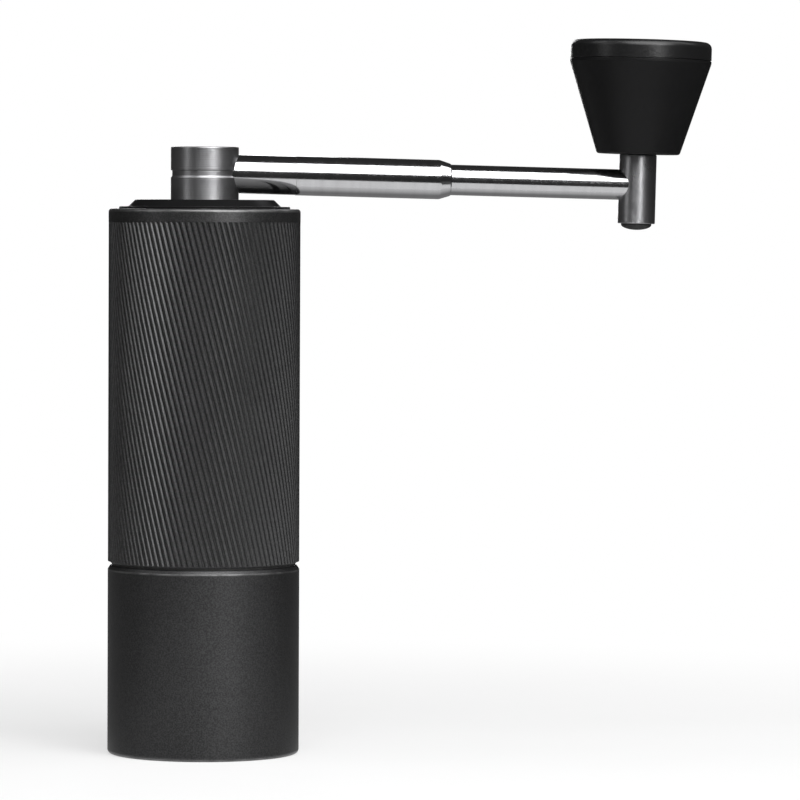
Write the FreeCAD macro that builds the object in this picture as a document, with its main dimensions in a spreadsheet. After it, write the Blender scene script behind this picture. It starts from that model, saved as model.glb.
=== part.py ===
"""Hand crank coffee grinder: a fluted mill body screwed on a catch cup, with a folding crank.

Millimetres, +Z up. The origin is the centre of the cup's base, on the mill's axis, and the
crank points along +X. Every size is a cell of the sheet Sizes, and the sheet Layout works out
the radii and levels that the pieces share.
"""
import FreeCAD, Part
import Sketcher
import math
import os
import re

Vector = FreeCAD.Vector

SIZES = {
    # Body shell
    "body_diameter": "52",
    "shell_height": "95.95",
    "band_height": "3.6",
    "rim_round": "0.9",
    "rim_wall": "2.7",
    "hopper_wall": "4.5",
    "hopper_step": "0.5",
    "skirt_wall": "3",
    "flute_count": "104",
    "flute_depth": "0.38",
    "flute_width": "0.78",
    "flute_lead": "610",
    "flute_step": "0.03",
    "seam_gap": "0.7",
    "seam_chamfer": "0.8",
    "seam_chamfer_height": "0.9",
    # Catch cup
    "cup_height": "51.1",
    "cup_wall": "3",
    "cup_floor": "3",
    "base_round": "1.1",
    "seal_play": "0.05",
    # Screw thread between neck and cup
    "neck_length": "7.5",
    "neck_shoulder": "0.2",
    "neck_wall": "2.15",
    "thread_pitch": "3",
    "thread_turns": "1.2",
    "thread_rise": "0.8",
    "thread_root_width": "1.2",
    "thread_tip_width": "0.8",
    "thread_sink": "0.3",
    "thread_gap": "0.25",
    "thread_lead_in": "0.8",
    # Burr housing and burrs
    "press_gap": "0.03",
    "burr_inset": "1.3",
    "outer_burr_height": "15.5",
    "fine_zone_height": "4.2",
    "burr_wall": "2.55",
    "burr_gap": "0.45",
    "burr_slope": "1.4",
    "throat_wall": "7",
    "throat_land": "1",
    "housing_lip": "5.2",
    "funnel_rim": "3.5",
    "auger_top_diameter": "17",
    "burr_collar_diameter": "14.8",
    "burr_top_proud": "0.26",
    "burr_skirt": "1.7",
    "burr_skirt_inset": "1.6",
    "fine_teeth": "30",
    "fine_cutter_radius": "1",
    "fine_tooth_lean": "18",
    "fine_tooth_skew": "20",
    "auger_teeth": "6",
    "auger_cutter_radius": "2.8",
    "auger_lean": "38",
    "auger_skew": "28",
    "outer_teeth": "30",
    "outer_tooth_lean": "16",
    "burr_screw_count": "3",
    "burr_screw_angle": "60",
    "burr_screw_diameter": "2.5",
    "burr_screw_length": "6.5",
    "burr_screw_head_diameter": "4.4",
    "burr_screw_head_height": "1.8",
    "burr_screw_seat": "1.5",
    "spoke_count": "3",
    "spoke_width": "4",
    "spoke_height": "6",
    "spoke_root": "1",
    "spoke_end_gap": "0.2",
    # Shaft and bearings
    "shaft_diameter": "8",
    "hex_inset": "0.07",
    "hex_clearance": "0.05",
    "hex_length": "31.5",
    "drive_length": "18.5",
    "shaft_thread_relief": "0.45",
    "shaft_tail": "1.5",
    "seat_gap": "0.02",
    "bearing_section": "4",
    "bearing_width": "5",
    "ball_diameter": "2",
    "ball_count": "9",
    "ball_gap": "0.06",
    "race_shoulder": "0.45",
    "cage_thickness": "0.6",
    "cage_height": "3.2",
    "bearing_wall": "2.2",
    "bearing_lip": "1.4",
    "bearing_sill": "3",
    "bearing_cover": "1",
    "circlip_thickness": "0.8",
    "circlip_width": "1.9",
    "circlip_depth": "0.45",
    "circlip_opening": "2",
    "bridge_depth": "30.4",
    "bridge_rim_height": "4",
    "bridge_rim_width": "2.9",
    "bridge_gap": "0.1",
    "snap_ring_thickness": "1",
    "snap_ring_width": "1.6",
    "snap_groove_depth": "0.7",
    "snap_ring_gap": "0.1",
    "snap_ring_opening": "6",
    # Burr spring
    "spring_wire": "1.1",
    "spring_diameter": "10.6",
    "spring_turns": "3.5",
    "spring_gap": "0.15",
    # Click plate and dial
    "click_plate_diameter": "19",
    "click_plate_thickness": "0.9",
    "click_plate_bore": "8.6",
    "click_plate_proud": "0.5",
    "click_count": "24",
    "click_dimple_radius": "0.5",
    "dial_diameter": "22",
    "dial_height": "6",
    "dial_gap": "0.1",
    "dial_grip_count": "12",
    "dial_grip_radius": "1.8",
    "dial_edge": "0.5",
    "insert_diameter": "11",
    "screw_clearance": "0.07",
    "plunger_count": "2",
    "plunger_circle": "15.2",
    "plunger_diameter": "2.6",
    "plunger_length": "4.4",
    "plunger_set_back": "0.4",
    "detent_ball_diameter": "1.8",
    "detent_ball_drop": "0.06",
    # Lid
    "lid_gap": "0.15",
    "lid_seat_depth": "2",
    "lid_flange_proud": "0.6",
    "lid_rise": "2.45",
    "lid_bevel_inset": "2.5",
    "lid_bevel_width": "1.9",
    "lid_plug_depth": "4",
    "lid_plug_wall": "1.8",
    "lid_plate": "2.3",
    "lid_edge": "0.3",
    "spigot_gap": "0.3",
    # Crank hub and arm
    "hub_diameter": "18.4",
    "hub_cheek": "1.85",
    "hub_gap": "0.1",
    "hub_groove_width": "2",
    "hub_groove_depth": "0.4",
    "hub_chamfer": "0.4",
    "spigot_diameter": "12.8",
    "spigot_length": "7.2",
    "socket_play": "0.1",
    "stub_wall_depth": "1.5",
    "arm_droop": "1.27",
    "rod_diameter": "8.3",
    "sleeve_clearance": "0.05",
    "sleeve_wall": "1.15",
    "sleeve_length": "42.3",
    "sleeve_taper_length": "4",
    "sleeve_end_wall": "0.4",
    "sleeve_round": "6",
    "sleeve_gap": "0.05",
    "stub_step": "0.1",
    "seam_radius": "24.6",
    "pivot_offset": "8",
    "tongue_height": "5.6",
    "tongue_thickness": "3",
    "tongue_gap": "0.1",
    "clevis_floor": "0.4",
    "fold_pin_diameter": "3",
    "fold_pin_gap": "0.03",
    "fold_pin_inset": "0.45",
    "sleeve_ring_wire": "1.2",
    "sleeve_ring_gap": "0.02",
    "sleeve_ring_place": "30",
    # Knob and post
    "crank_radius": "118.35",
    "post_wall": "0.95",
    "post_above": "8.3",
    "post_below": "10.55",
    "post_chamfer": "0.3",
    "rod_end_depth": "4",
    "bumper_height": "1.7",
    "bumper_inset": "0.95",
    "bumper_stem_diameter": "5",
    "bumper_stem_length": "2.9",
    "bumper_round": "1.5",
    "knob_gap": "0.3",
    "knob_height": "31",
    "knob_rim_diameter": "38.6",
    "knob_base_diameter": "22.6",
    "knob_rim_height": "5.5",
    "knob_land": "0.7",
    "knob_base_round": "0.8",
    "knob_top_round": "1.8",
    "knob_dome": "0.4",
    "cap_seam": "0.25",
    "cap_seam_depth": "0.6",
    "cap_spigot_inset": "2.2",
    "cap_spigot_height": "1.4",
    "cap_gap": "0.1",
    "axle_diameter": "6",
    "axle_thread_diameter": "4",
    "axle_thread_length": "3.6",
    "axle_head_diameter": "10",
    "axle_head_height": "2",
    "bush_wall": "0.95",
    "bush_length": "6",
    "bush_inset": "0.3",
    "running_gap": "0.05",
    "washer_thickness": "0.5",
    "washer_gap": "0.1",
    "axle_head_room": "0.8",
}

LAYOUT = {
    # Radii of the shell, the cup and the neck
    "body_r": "body_diameter / 2",
    "hopper_r": "body_r - hopper_wall",
    "hopper_low_r": "hopper_r - hopper_step",
    "lid_seat_r": "body_r - rim_wall",
    "skirt_r": "body_r - skirt_wall",
    "neck_r": "skirt_r + neck_shoulder",
    "neck_bore_r": "neck_r - neck_wall",
    "cup_thread_r": "neck_r + thread_rise + thread_gap",
    # Levels, from the cup's base upwards
    "shell_bottom": "cup_height + seam_gap",
    "shell_top": "shell_bottom + shell_height",
    "band_bottom": "shell_top - band_height",
    "flute_bottom": "shell_bottom + seam_chamfer_height",
    "flute_r": "body_r - flute_step",
    "foot_r": "flute_r - flute_depth - flute_step",
    "neck_bottom": "shell_bottom - neck_length",
    "burr_bottom": "neck_bottom + burr_inset",
    "burr_top": "burr_bottom + outer_burr_height",
    "fine_top": "burr_bottom + fine_zone_height",
    "housing_top": "burr_top + housing_lip",
    "lower_bearing": "housing_top + bearing_sill + circlip_thickness",
    "bridge_seat": "shell_top - bridge_depth",
    "upper_bearing": "bridge_seat + bearing_sill",
    "snap_groove": "bridge_seat + bridge_rim_height",
    # Burrs
    "outer_burr_r": "neck_bore_r - press_gap",
    "fine_outer_r": "outer_burr_r - burr_wall",
    "fine_inner_r": "fine_outer_r - burr_gap",
    "throat_r": "outer_burr_r - throat_wall",
    "burr_screw_circle": "(outer_burr_r + throat_r) / 2",
    "burr_screw_x": "burr_screw_circle * cos(burr_screw_angle)",
    "burr_screw_y": "burr_screw_circle * sin(burr_screw_angle)",
    "burr_screw_head": "burr_top + burr_screw_seat",
    "burr_rest_top": "burr_top + burr_top_proud",
    "burr_skirt_bottom": "burr_bottom - burr_skirt",
    "click_plate_bottom": "burr_skirt_bottom - click_plate_proud",
    "dial_top": "click_plate_bottom - dial_gap",
    "dial_bottom": "dial_top - dial_height",
    # Shaft and bearings
    "shaft_r": "shaft_diameter / 2",
    "hex_r": "shaft_r - hex_inset",
    "hex_flat_r": "hex_r * cos(30)",
    "shaft_screw_r": "hex_flat_r - shaft_thread_relief",
    "bearing_r": "shaft_r + bearing_section",
    "ball_circle_r": "shaft_r + bearing_section / 2",
    "bearing_hub_r": "bearing_r + bearing_wall",
    "bearing_lip_r": "bearing_r - bearing_lip",
    "shaft_bottom": "dial_bottom - shaft_tail",
    "drive_bottom": "burr_bottom + press_gap",
    "drive_top": "drive_bottom + drive_length",
    "lower_circlip": "lower_bearing - circlip_thickness",
    "upper_circlip": "upper_bearing + bearing_width",
    "spring_bottom": "burr_rest_top + spring_gap",
    "spring_top": "lower_circlip - spring_gap",
    # Lid, hub and arm
    "lid_r": "lid_seat_r - lid_gap",
    "lid_bottom": "shell_top - lid_seat_depth",
    "lid_flange_top": "shell_top + lid_flange_proud",
    "lid_top": "shell_top + lid_rise",
    "lid_plug_r": "hopper_r - lid_gap",
    "lid_bevel_r": "lid_r - lid_bevel_inset",
    "rod_r": "rod_diameter / 2",
    "sleeve_bore_r": "rod_r + sleeve_clearance",
    "sleeve_r": "sleeve_bore_r + sleeve_wall",
    "stub_r": "sleeve_r - stub_step",
    "hub_r": "hub_diameter / 2",
    "hub_height": "2 * (stub_r + hub_cheek)",
    "hub_bottom": "lid_top + hub_gap",
    "hub_top": "hub_bottom + hub_height",
    "arm_height": "hub_bottom + hub_height / 2",
    "socket_bottom": "hub_bottom - spigot_length",
    "shaft_top": "arm_height + stub_wall_depth",
    "hex_bottom": "shaft_top - hex_length",
    "stub_start": "hex_r + hex_clearance + stub_wall_depth",
    "pivot": "seam_radius + pivot_offset",
    "sleeve_start": "seam_radius + sleeve_gap",
    "sleeve_end": "sleeve_start + sleeve_length",
    "sleeve_ring": "seam_radius + sleeve_ring_place",
    # Knob, measured from the arm's axis along the post
    "post_r": "rod_r + post_wall",
    "bumper_r": "post_r - bumper_inset",
    "knob_bottom": "post_above + knob_gap",
    "knob_top": "knob_bottom + knob_height",
    "rim_bottom": "knob_top - knob_rim_height",
    "knob_rim_r": "knob_rim_diameter / 2",
    "cap_spigot_r": "knob_rim_r - cap_spigot_inset",
    "cap_floor": "rim_bottom - cap_spigot_height",
    "axle_r": "axle_diameter / 2",
    "bush_r": "axle_r + running_gap + bush_wall",
    "axle_head_r": "axle_head_diameter / 2",
    "axle_head_top": "cap_floor - axle_head_room + cap_gap",
    "axle_head_bottom": "axle_head_top - axle_head_height",
    "washer_bottom": "axle_head_bottom - washer_gap - washer_thickness",
    "bush_room_top": "washer_bottom - washer_gap",
}

EDGE_TOLERANCE = 1e-4
NAME_PATTERN = re.compile(r"[a-z][a-z0-9_]*")

doc = FreeCAD.newDocument("coffee_grinder")


def bound(expression):
    """Gives an expression with each size or level written as its cell."""
    def cell(match):
        name = match.group(0)
        if name in SIZES:
            return "Sizes." + name
        if name in LAYOUT:
            return "Layout." + name
        return name
    return NAME_PATTERN.sub(cell, expression)


def make_sheet(name, cells):
    """Makes a sheet with one aliased cell per row, its name beside it."""
    sheet = doc.addObject("Spreadsheet::Sheet", name)
    for row, (alias, content) in enumerate(cells.items(), start=1):
        sheet.set("A%d" % row, alias)
        sheet.set("B%d" % row, content)
        sheet.setAlias("B%d" % row, alias)
    doc.recompute()
    return sheet


def number(expression):
    """Value of an expression of sizes and levels."""
    return float(sizes.evalExpression(bound(expression)))


def origin_feature(body, role):
    """One of a body's own origin planes or axes."""
    return [item for item in body.Origin.OriginFeatures if item.Role == role][0]


def bind_corner(sketch, line, kind, expression):
    """Holds the start of a sketch line at a signed distance from the sketch's origin."""
    distance = number(expression)
    if expression == "0":
        axis = -2 if kind == "DistanceX" else -1
        sketch.addConstraint(Sketcher.Constraint("PointOnObject", line, 1, axis))
    elif distance > 0:
        index = sketch.addConstraint(Sketcher.Constraint(kind, -1, 1, line, 1, distance))
        sketch.setExpression("Constraints[%d]" % index, bound(expression))
    else:
        index = sketch.addConstraint(Sketcher.Constraint(kind, line, 1, -1, 1, -distance))
        sketch.setExpression("Constraints[%d]" % index, "-(%s)" % bound(expression))


def outline_sketch(body, name, outline):
    """Closed outline of straight lines on the XZ plane, with each corner bound to the sheets."""
    sketch = body.newObject("Sketcher::SketchObject", name)
    sketch.AttachmentSupport = [(origin_feature(body, "XZ_Plane"), "")]
    sketch.MapMode = "FlatFace"
    corners = [Vector(number(across), number(up), 0) for across, up in outline]
    for start, end in zip(corners, corners[1:] + corners[:1]):
        sketch.addGeometry(Part.LineSegment(start, end))
    for line, (across, up) in enumerate(outline):
        following = (line + 1) % len(outline)
        sketch.addConstraint(Sketcher.Constraint("Coincident", line, 2, following, 1))
        bind_corner(sketch, line, "DistanceX", across)
        bind_corner(sketch, line, "DistanceY", up)
    return sketch


def turned(label, outline, axis="Z_Axis"):
    """A body turned from an outline on the XZ plane about one of its axes."""
    body = doc.addObject("PartDesign::Body", label)
    turn = body.newObject("PartDesign::Revolution", label + "_turn")
    turn.Profile = outline_sketch(body, label + "_outline", outline)
    turn.ReferenceAxis = (origin_feature(body, axis), [""])
    turn.Angle = 360
    body.Tip = turn
    doc.recompute()
    return body


def solid_feature(body, kind, name, place, turn=None, **dimensions):
    """Adds or cuts a primitive of a body.

    The place is its x, y and z as expressions, and the turn an axis with an angle's expression.
    """
    feature = body.newObject("PartDesign::" + kind, name)
    feature.AttachmentSupport = [(origin_feature(body, "XY_Plane"), "")]
    feature.MapMode = "FlatFace"
    if turn:
        axis, angle = turn
        rotation = FreeCAD.Rotation(axis, number(angle))
        feature.AttachmentOffset = FreeCAD.Placement(Vector(), rotation)
        feature.setExpression("AttachmentOffset.Rotation.Angle", bound(angle))
    for direction, expression in zip("xyz", place):
        feature.setExpression("AttachmentOffset.Base." + direction, bound(expression))
    for dimension, expression in dimensions.items():
        feature.setExpression(dimension, bound(expression))
    return feature


def patterned(body, name, feature, count):
    """Repeats a feature round the body's Z axis."""
    doc.recompute()
    pattern = body.newObject("PartDesign::PolarPattern", name)
    pattern.Originals = [feature]
    pattern.Axis = (origin_feature(body, "Z_Axis"), [""])
    pattern.Angle = 360
    pattern.setExpression("Occurrences", bound(count))
    body.Tip = pattern
    doc.recompute()
    return pattern


def dress_edges(body, kind, name, size, circles, along="z"):
    """Rounds or chamfers a body's circular edges, each given by its radius and level."""
    doc.recompute()
    base = body.Tip
    wanted = [(number(radius), number(level)) for radius, level in circles]
    edges = []
    for index, edge in enumerate(base.Shape.Edges, start=1):
        if not isinstance(edge.Curve, Part.Circle):
            continue
        level = getattr(edge.Curve.Center, along)
        for radius, height in wanted:
            if math.hypot(edge.Curve.Radius - radius, level - height) < EDGE_TOLERANCE:
                edges.append("Edge%d" % index)
    if len(edges) < len(wanted):
        raise ValueError("%s finds %d of %d edges" % (name, len(edges), len(wanted)))
    dress = body.newObject("PartDesign::" + kind, name)
    dress.Base = (base, edges)
    dress.setExpression("Radius" if kind == "Fillet" else "Size", bound(size))
    body.Tip = dress
    doc.recompute()
    return dress


def thread_ridge(body, name, root, tip, start):
    """A right-hand screw ridge between two radii, starting on the +X side at a level."""
    half_root = "thread_root_width / 2"
    half_tip = "thread_tip_width / 2"
    outline = [
        (root, "%s - %s" % (start, half_root)),
        (tip, "%s - %s" % (start, half_tip)),
        (tip, "%s + %s" % (start, half_tip)),
        (root, "%s + %s" % (start, half_root)),
    ]
    ridge = body.newObject("PartDesign::AdditiveHelix", name)
    ridge.Profile = outline_sketch(body, name + "_outline", outline)
    ridge.ReferenceAxis = (origin_feature(body, "Z_Axis"), [""])
    ridge.Mode = "pitch-turns-angle"
    ridge.setExpression("Pitch", bound("thread_pitch"))
    ridge.setExpression("Turns", bound("thread_turns"))
    body.Tip = ridge
    doc.recompute()


def group(label, shapes):
    """One sub-part made of several separate solids of the same kind."""
    feature = doc.addObject("Part::Feature", label)
    feature.Shape = Part.makeCompound(shapes)
    return feature


def round_places(radius, level, count, first_angle=0.0):
    """Points evenly spaced on a level circle about the mill's axis."""
    step = 2 * math.pi / count
    angles = [math.radians(first_angle) + index * step for index in range(count)]
    return [Vector(radius * math.cos(a), radius * math.sin(a), level) for a in angles]


def ring_outline(inner, outer, bottom, top):
    """Outline of a plain ring."""
    return [(inner, bottom), (outer, bottom), (outer, top), (inner, top)]


def place_on_arm(body, along):
    """Moves a body from the mill's origin to a distance along the drooping arm."""
    body.Placement = FreeCAD.Placement(
        Vector(), FreeCAD.Rotation(Vector(0, 1, 0), number("arm_droop")))
    body.setExpression("Placement.Rotation.Angle", bound("arm_droop"))
    body.setExpression("Placement.Base.x", bound("(%s) * cos(arm_droop)" % along))
    body.setExpression("Placement.Base.z", bound("arm_height - (%s) * sin(arm_droop)" % along))
    doc.recompute()
    return body


def make_catch_cup():
    """Smooth cup with an inside thread at its mouth."""
    cup = turned("catch_cup", [
        ("0", "0"),
        ("body_r", "0"),
        ("body_r", "cup_height - seam_chamfer_height"),
        ("body_r - seam_chamfer", "cup_height"),
        ("cup_thread_r", "cup_height"),
        ("cup_thread_r", "neck_bottom - thread_gap"),
        ("body_r - cup_wall", "neck_bottom - thread_gap - thread_rise"),
        ("body_r - cup_wall", "cup_floor"),
        ("0", "cup_floor"),
    ])
    dress_edges(cup, "Fillet", "cup_base_round", "base_round", [("body_r", "0")])
    thread_ridge(cup, "cup_thread", "cup_thread_r + thread_sink", "neck_r + thread_gap",
                 "(neck_bottom + thread_lead_in + thread_pitch / 2)")
    return cup


def make_cup_seal():
    """Flat ring in the gap between the cup and the shell."""
    return turned("cup_seal", ring_outline(
        "cup_thread_r - thread_sink", "body_r - seam_chamfer - thread_sink",
        "cup_height + seal_play", "shell_bottom - seal_play"))


def flute_faces():
    """Faces of the fluted zone: helical lands and groove flanks, with flat rings at both ends."""
    low = number("flute_bottom")
    high = number("band_bottom")
    half_groove = math.degrees(number("flute_width / 2 / flute_r"))
    corners = [("flute_r", -half_groove), ("flute_r - flute_depth", 0), ("flute_r", half_groove)]
    count = int(number("flute_count"))
    spines = []
    for index in range(count):
        for radius, offset in corners:
            spine = Part.makeHelix(number("flute_lead"), high - low, number(radius), 0, True).Edges[0]
            spine.translate(Vector(0, 0, low))
            spine.rotate(Vector(), Vector(0, 0, 1), offset + 360 * index / count)
            spines.append(spine)
    following = spines[1:] + spines[:1]
    sides = [Part.makeRuledSurface(first, second) for first, second in zip(spines, following)]
    rings = []
    for end, level, radius in ((0, low, "foot_r"), (-1, high, "body_r")):
        zigzag = Part.makePolygon([spine.Vertexes[end].Point for spine in spines + spines[:1]])
        circle = Part.Circle(Vector(0, 0, level), Vector(0, 0, 1), number(radius)).toShape()
        rings += Part.makeFace([zigzag, Part.Wire(circle)], "Part::FaceMakerBullseye").Faces
    return sides + rings


def make_body_shell():
    """Fluted tube with a plain band, a lid seat, a bridge step and the housing's skirt."""
    snap_groove_top = "snap_groove + snap_ring_thickness + 2 * snap_ring_gap"
    plain = turned("plain_shell", [
        ("skirt_r", "shell_bottom"),
        ("body_r - seam_chamfer", "shell_bottom"),
        ("foot_r", "flute_bottom"),
        ("foot_r", "band_bottom"),
        ("body_r", "band_bottom"),
        ("body_r", "shell_top"),
        ("lid_seat_r", "shell_top"),
        ("lid_seat_r", "lid_bottom"),
        ("hopper_r", "lid_bottom"),
        ("hopper_r", snap_groove_top),
        ("hopper_r + snap_groove_depth", snap_groove_top),
        ("hopper_r + snap_groove_depth", "snap_groove"),
        ("hopper_r", "snap_groove"),
        ("hopper_r", "bridge_seat"),
        ("hopper_low_r", "bridge_seat"),
        ("hopper_low_r", "housing_top"),
        ("skirt_r", "housing_top"),
    ])
    dress_edges(plain, "Fillet", "shell_rim_round", "rim_round", [("body_r", "shell_top")])
    low = number("flute_bottom")
    high = number("band_bottom")
    inside = number("foot_r") - EDGE_TOLERANCE

    def is_plain(face):
        box = face.BoundBox
        in_zone = box.ZMin > low - EDGE_TOLERANCE and box.ZMax < high + EDGE_TOLERANCE
        return not (in_zone and box.XMax > inside)

    kept = [face for face in plain.Shape.Faces if is_plain(face)]
    skin = Part.makeCompound(kept + flute_faces())
    skin.sewShape()
    shell = doc.addObject("Part::Feature", "body_shell")
    shell.Shape = Part.Solid(skin.Shells[0])
    return shell


def add_spokes(body, name, bottom, height, reach):
    """Three arms from a bearing's hub out to a rim."""
    spoke = solid_feature(
        body, "AdditiveBox", name, ("bearing_r", "-spoke_width / 2", bottom),
        Length="%s - bearing_r" % reach, Width="spoke_width", Height=height)
    patterned(body, name + "_round", spoke, "spoke_count")


def bore_bearing_seat(body, name, bottom, seat):
    """Opens a bearing's seat from above, over a lip that the ring stands on."""
    solid_feature(body, "SubtractiveCylinder", name + "_eye", ("0", "0", bottom),
                  Radius="bearing_lip_r", Height="%s - %s + bearing_width" % (seat, bottom))
    cut = solid_feature(body, "SubtractiveCylinder", name, ("0", "0", seat),
                        Radius="bearing_r + seat_gap", Height="bearing_width + 2 * bearing_cover")
    body.Tip = cut
    doc.recompute()


def make_burr_housing():
    """Insert in the shell's skirt: threaded neck, burr seat, funnel and lower bearing spokes."""
    housing = turned("burr_housing", [
        ("neck_bore_r", "neck_bottom"),
        ("neck_r", "neck_bottom"),
        ("neck_r", "shell_bottom"),
        ("skirt_r - press_gap", "shell_bottom"),
        ("skirt_r - press_gap", "housing_top"),
        ("skirt_r - funnel_rim", "housing_top"),
        ("throat_r", "burr_top + throat_land"),
        ("throat_r", "burr_top"),
        ("neck_bore_r", "burr_top"),
    ])
    add_spokes(housing, "spoke", "housing_top - spoke_root", "spoke_height",
               "(hopper_low_r - spoke_end_gap)")
    hub = solid_feature(
        housing, "AdditiveCylinder", "lower_bearing_hub", ("0", "0", "housing_top"),
        Radius="bearing_hub_r",
        Height="lower_bearing - housing_top + bearing_width + bearing_cover")
    housing.Tip = hub
    doc.recompute()
    bore_bearing_seat(housing, "lower_bearing_seat", "housing_top - spoke_root", "lower_bearing")
    hole = solid_feature(
        housing, "SubtractiveCylinder", "burr_screw_hole",
        ("burr_screw_x", "burr_screw_y", "burr_top - throat_land"),
        Radius="burr_screw_diameter / 2 + running_gap", Height="housing_lip")
    patterned(housing, "burr_screw_holes", hole, "burr_screw_count")
    head_room = solid_feature(
        housing, "SubtractiveCylinder", "burr_screw_room",
        ("burr_screw_x", "burr_screw_y", "burr_screw_head"),
        Radius="burr_screw_head_diameter / 2 + lid_gap", Height="housing_lip")
    patterned(housing, "burr_screw_rooms", head_room, "burr_screw_count")
    thread_ridge(housing, "neck_thread", "neck_r - thread_sink", "neck_r + thread_rise",
                 "(neck_bottom + thread_lead_in)")
    return housing


def cut_teeth(body, name, radius, level, length, cutter, lean, skew, count):
    """Cuts round-bottomed teeth along a cone, leaning to its axis and skewed round it."""
    tooth = solid_feature(body, "SubtractiveCylinder", name, (), Radius=cutter, Height=length)
    leaning = FreeCAD.Rotation(Vector(0, 1, 0), -number(lean))
    skewed = FreeCAD.Rotation(Vector(1, 0, 0), number(skew))
    tooth.AttachmentOffset = FreeCAD.Placement(
        Vector(number(radius), 0, number(level)), leaning.multiply(skewed))
    patterned(body, name + "_round", tooth, count)


def make_outer_burr():
    """Ring burr: a fine zone parallel to the inner burr, and an entry that opens upwards."""
    burr = turned("outer_burr", [
        ("fine_outer_r", "burr_bottom"),
        ("outer_burr_r", "burr_bottom"),
        ("outer_burr_r", "burr_top"),
        ("throat_r", "burr_top"),
        ("fine_outer_r - burr_slope", "fine_top"),
    ])
    cut_teeth(burr, "outer_tooth", "fine_outer_r", "burr_bottom - fine_cutter_radius",
              "2 * outer_burr_height", "fine_cutter_radius", "outer_tooth_lean", "0", "outer_teeth")
    hole = solid_feature(
        burr, "SubtractiveCylinder", "burr_tapped_hole",
        ("burr_screw_x", "burr_screw_y", "burr_screw_head - burr_screw_length - running_gap"),
        Radius="burr_screw_diameter / 2 + running_gap", Height="burr_screw_length")
    patterned(burr, "burr_tapped_holes", hole, "burr_screw_count")
    return burr


def make_outer_burr_screws():
    """Cap screws that hold the ring burr up in the housing."""
    shank = Part.makeCylinder(number("burr_screw_diameter / 2"), number("burr_screw_length"),
                              Vector(0, 0, -number("burr_screw_length")))
    head = Part.makeCylinder(number("burr_screw_head_diameter / 2"),
                             number("burr_screw_head_height"))
    key = Part.makeCylinder(number("burr_screw_diameter / 4"), number("burr_screw_head_height"),
                            Vector(0, 0, number("burr_screw_head_height / 2")))
    screw = shank.fuse(head).removeSplitter().cut(key)
    places = round_places(number("burr_screw_circle"), number("burr_screw_head"),
                          int(number("burr_screw_count")), number("burr_screw_angle"))
    return group("outer_burr_screws", [screw.translated(place) for place in places])


def make_inner_burr():
    """Cone burr that slides on the shaft's lower hexagon."""
    recess_r = "click_plate_diameter / 2 + press_gap"
    plate_top = "click_plate_bottom + click_plate_thickness"
    burr = turned("inner_burr", [
        ("0", plate_top),
        (recess_r, plate_top),
        (recess_r, "burr_skirt_bottom"),
        ("fine_inner_r - burr_skirt_inset", "burr_skirt_bottom"),
        ("fine_inner_r", "burr_bottom"),
        ("fine_inner_r - burr_slope", "fine_top"),
        ("auger_top_diameter / 2", "burr_top - throat_land"),
        ("burr_collar_diameter / 2", "burr_rest_top"),
        ("0", "burr_rest_top"),
    ])
    cut_teeth(burr, "fine_tooth", "fine_inner_r + fine_cutter_radius / 4", "burr_bottom - burr_inset",
              "2 * fine_zone_height", "fine_cutter_radius", "fine_tooth_lean", "fine_tooth_skew",
              "fine_teeth")
    cut_teeth(burr, "auger_tooth", "fine_inner_r + auger_cutter_radius / 2", "fine_top",
              "2 * outer_burr_height", "auger_cutter_radius", "auger_lean", "auger_skew",
              "auger_teeth")
    bore = solid_feature(burr, "SubtractivePrism", "burr_bore", ("0", "0", "shaft_bottom"),
                         Circumradius="hex_r + hex_clearance", Height="shaft_top - shaft_bottom")
    burr.Tip = bore
    doc.recompute()
    return burr


def make_click_plate():
    """Dimpled ring under the inner burr that the dial's balls click on."""
    plate = turned("click_plate", ring_outline(
        "click_plate_bore / 2", "click_plate_diameter / 2",
        "click_plate_bottom", "click_plate_bottom + click_plate_thickness"))
    dimple = solid_feature(plate, "SubtractiveSphere", "click_dimple",
                           ("plunger_circle / 2", "0", "click_plate_bottom"),
                           Radius="click_dimple_radius")
    patterned(plate, "click_dimples", dimple, "click_count")
    return plate


def make_adjusting_dial():
    """Thumb wheel under the burr, with scalloped grips and two plunger holes."""
    dial = turned("adjusting_dial", ring_outline(
        "insert_diameter / 2 + press_gap", "dial_diameter / 2", "dial_bottom", "dial_top"))
    dress_edges(dial, "Chamfer", "dial_edges", "dial_edge",
                [("dial_diameter / 2", "dial_bottom"), ("dial_diameter / 2", "dial_top")])
    grip = solid_feature(dial, "SubtractiveCylinder", "dial_grip",
                         ("dial_diameter / 2 + dial_grip_radius / 2", "0", "dial_bottom - dial_edge"),
                         Radius="dial_grip_radius", Height="dial_height + 2 * dial_edge")
    patterned(dial, "dial_grips", grip, "dial_grip_count")
    hole = solid_feature(dial, "SubtractiveCylinder", "plunger_hole",
                         ("plunger_circle / 2", "0", "dial_top - plunger_set_back - plunger_length"),
                         Radius="plunger_diameter / 2 + press_gap", Height="dial_height")
    patterned(dial, "plunger_holes", hole, "plunger_count")
    return dial


def make_dial_insert():
    """Brass bush in the dial that runs on the shaft's thread."""
    return turned("dial_insert", ring_outline(
        "shaft_screw_r + screw_clearance", "insert_diameter / 2", "dial_bottom", "dial_top"))


def detent_ball_level():
    """Level of the detent balls' centres, with their tops just under the click plate."""
    return number("click_plate_bottom - detent_ball_drop - detent_ball_diameter / 2")


def make_detent_plungers():
    """Spring plunger barrels pressed in the dial, each with a cup for its ball."""
    bottom = number("dial_top - plunger_set_back - plunger_length")
    cup = Part.makeSphere(number("detent_ball_diameter / 2 + running_gap"))
    ball_place = Vector(0, 0, detent_ball_level() - bottom)
    barrel = Part.makeCylinder(number("plunger_diameter / 2"), number("plunger_length"))
    barrel = barrel.cut(cup.translated(ball_place))
    places = round_places(number("plunger_circle / 2"), bottom, int(number("plunger_count")))
    return group("detent_plungers", [barrel.translated(place) for place in places])


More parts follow.
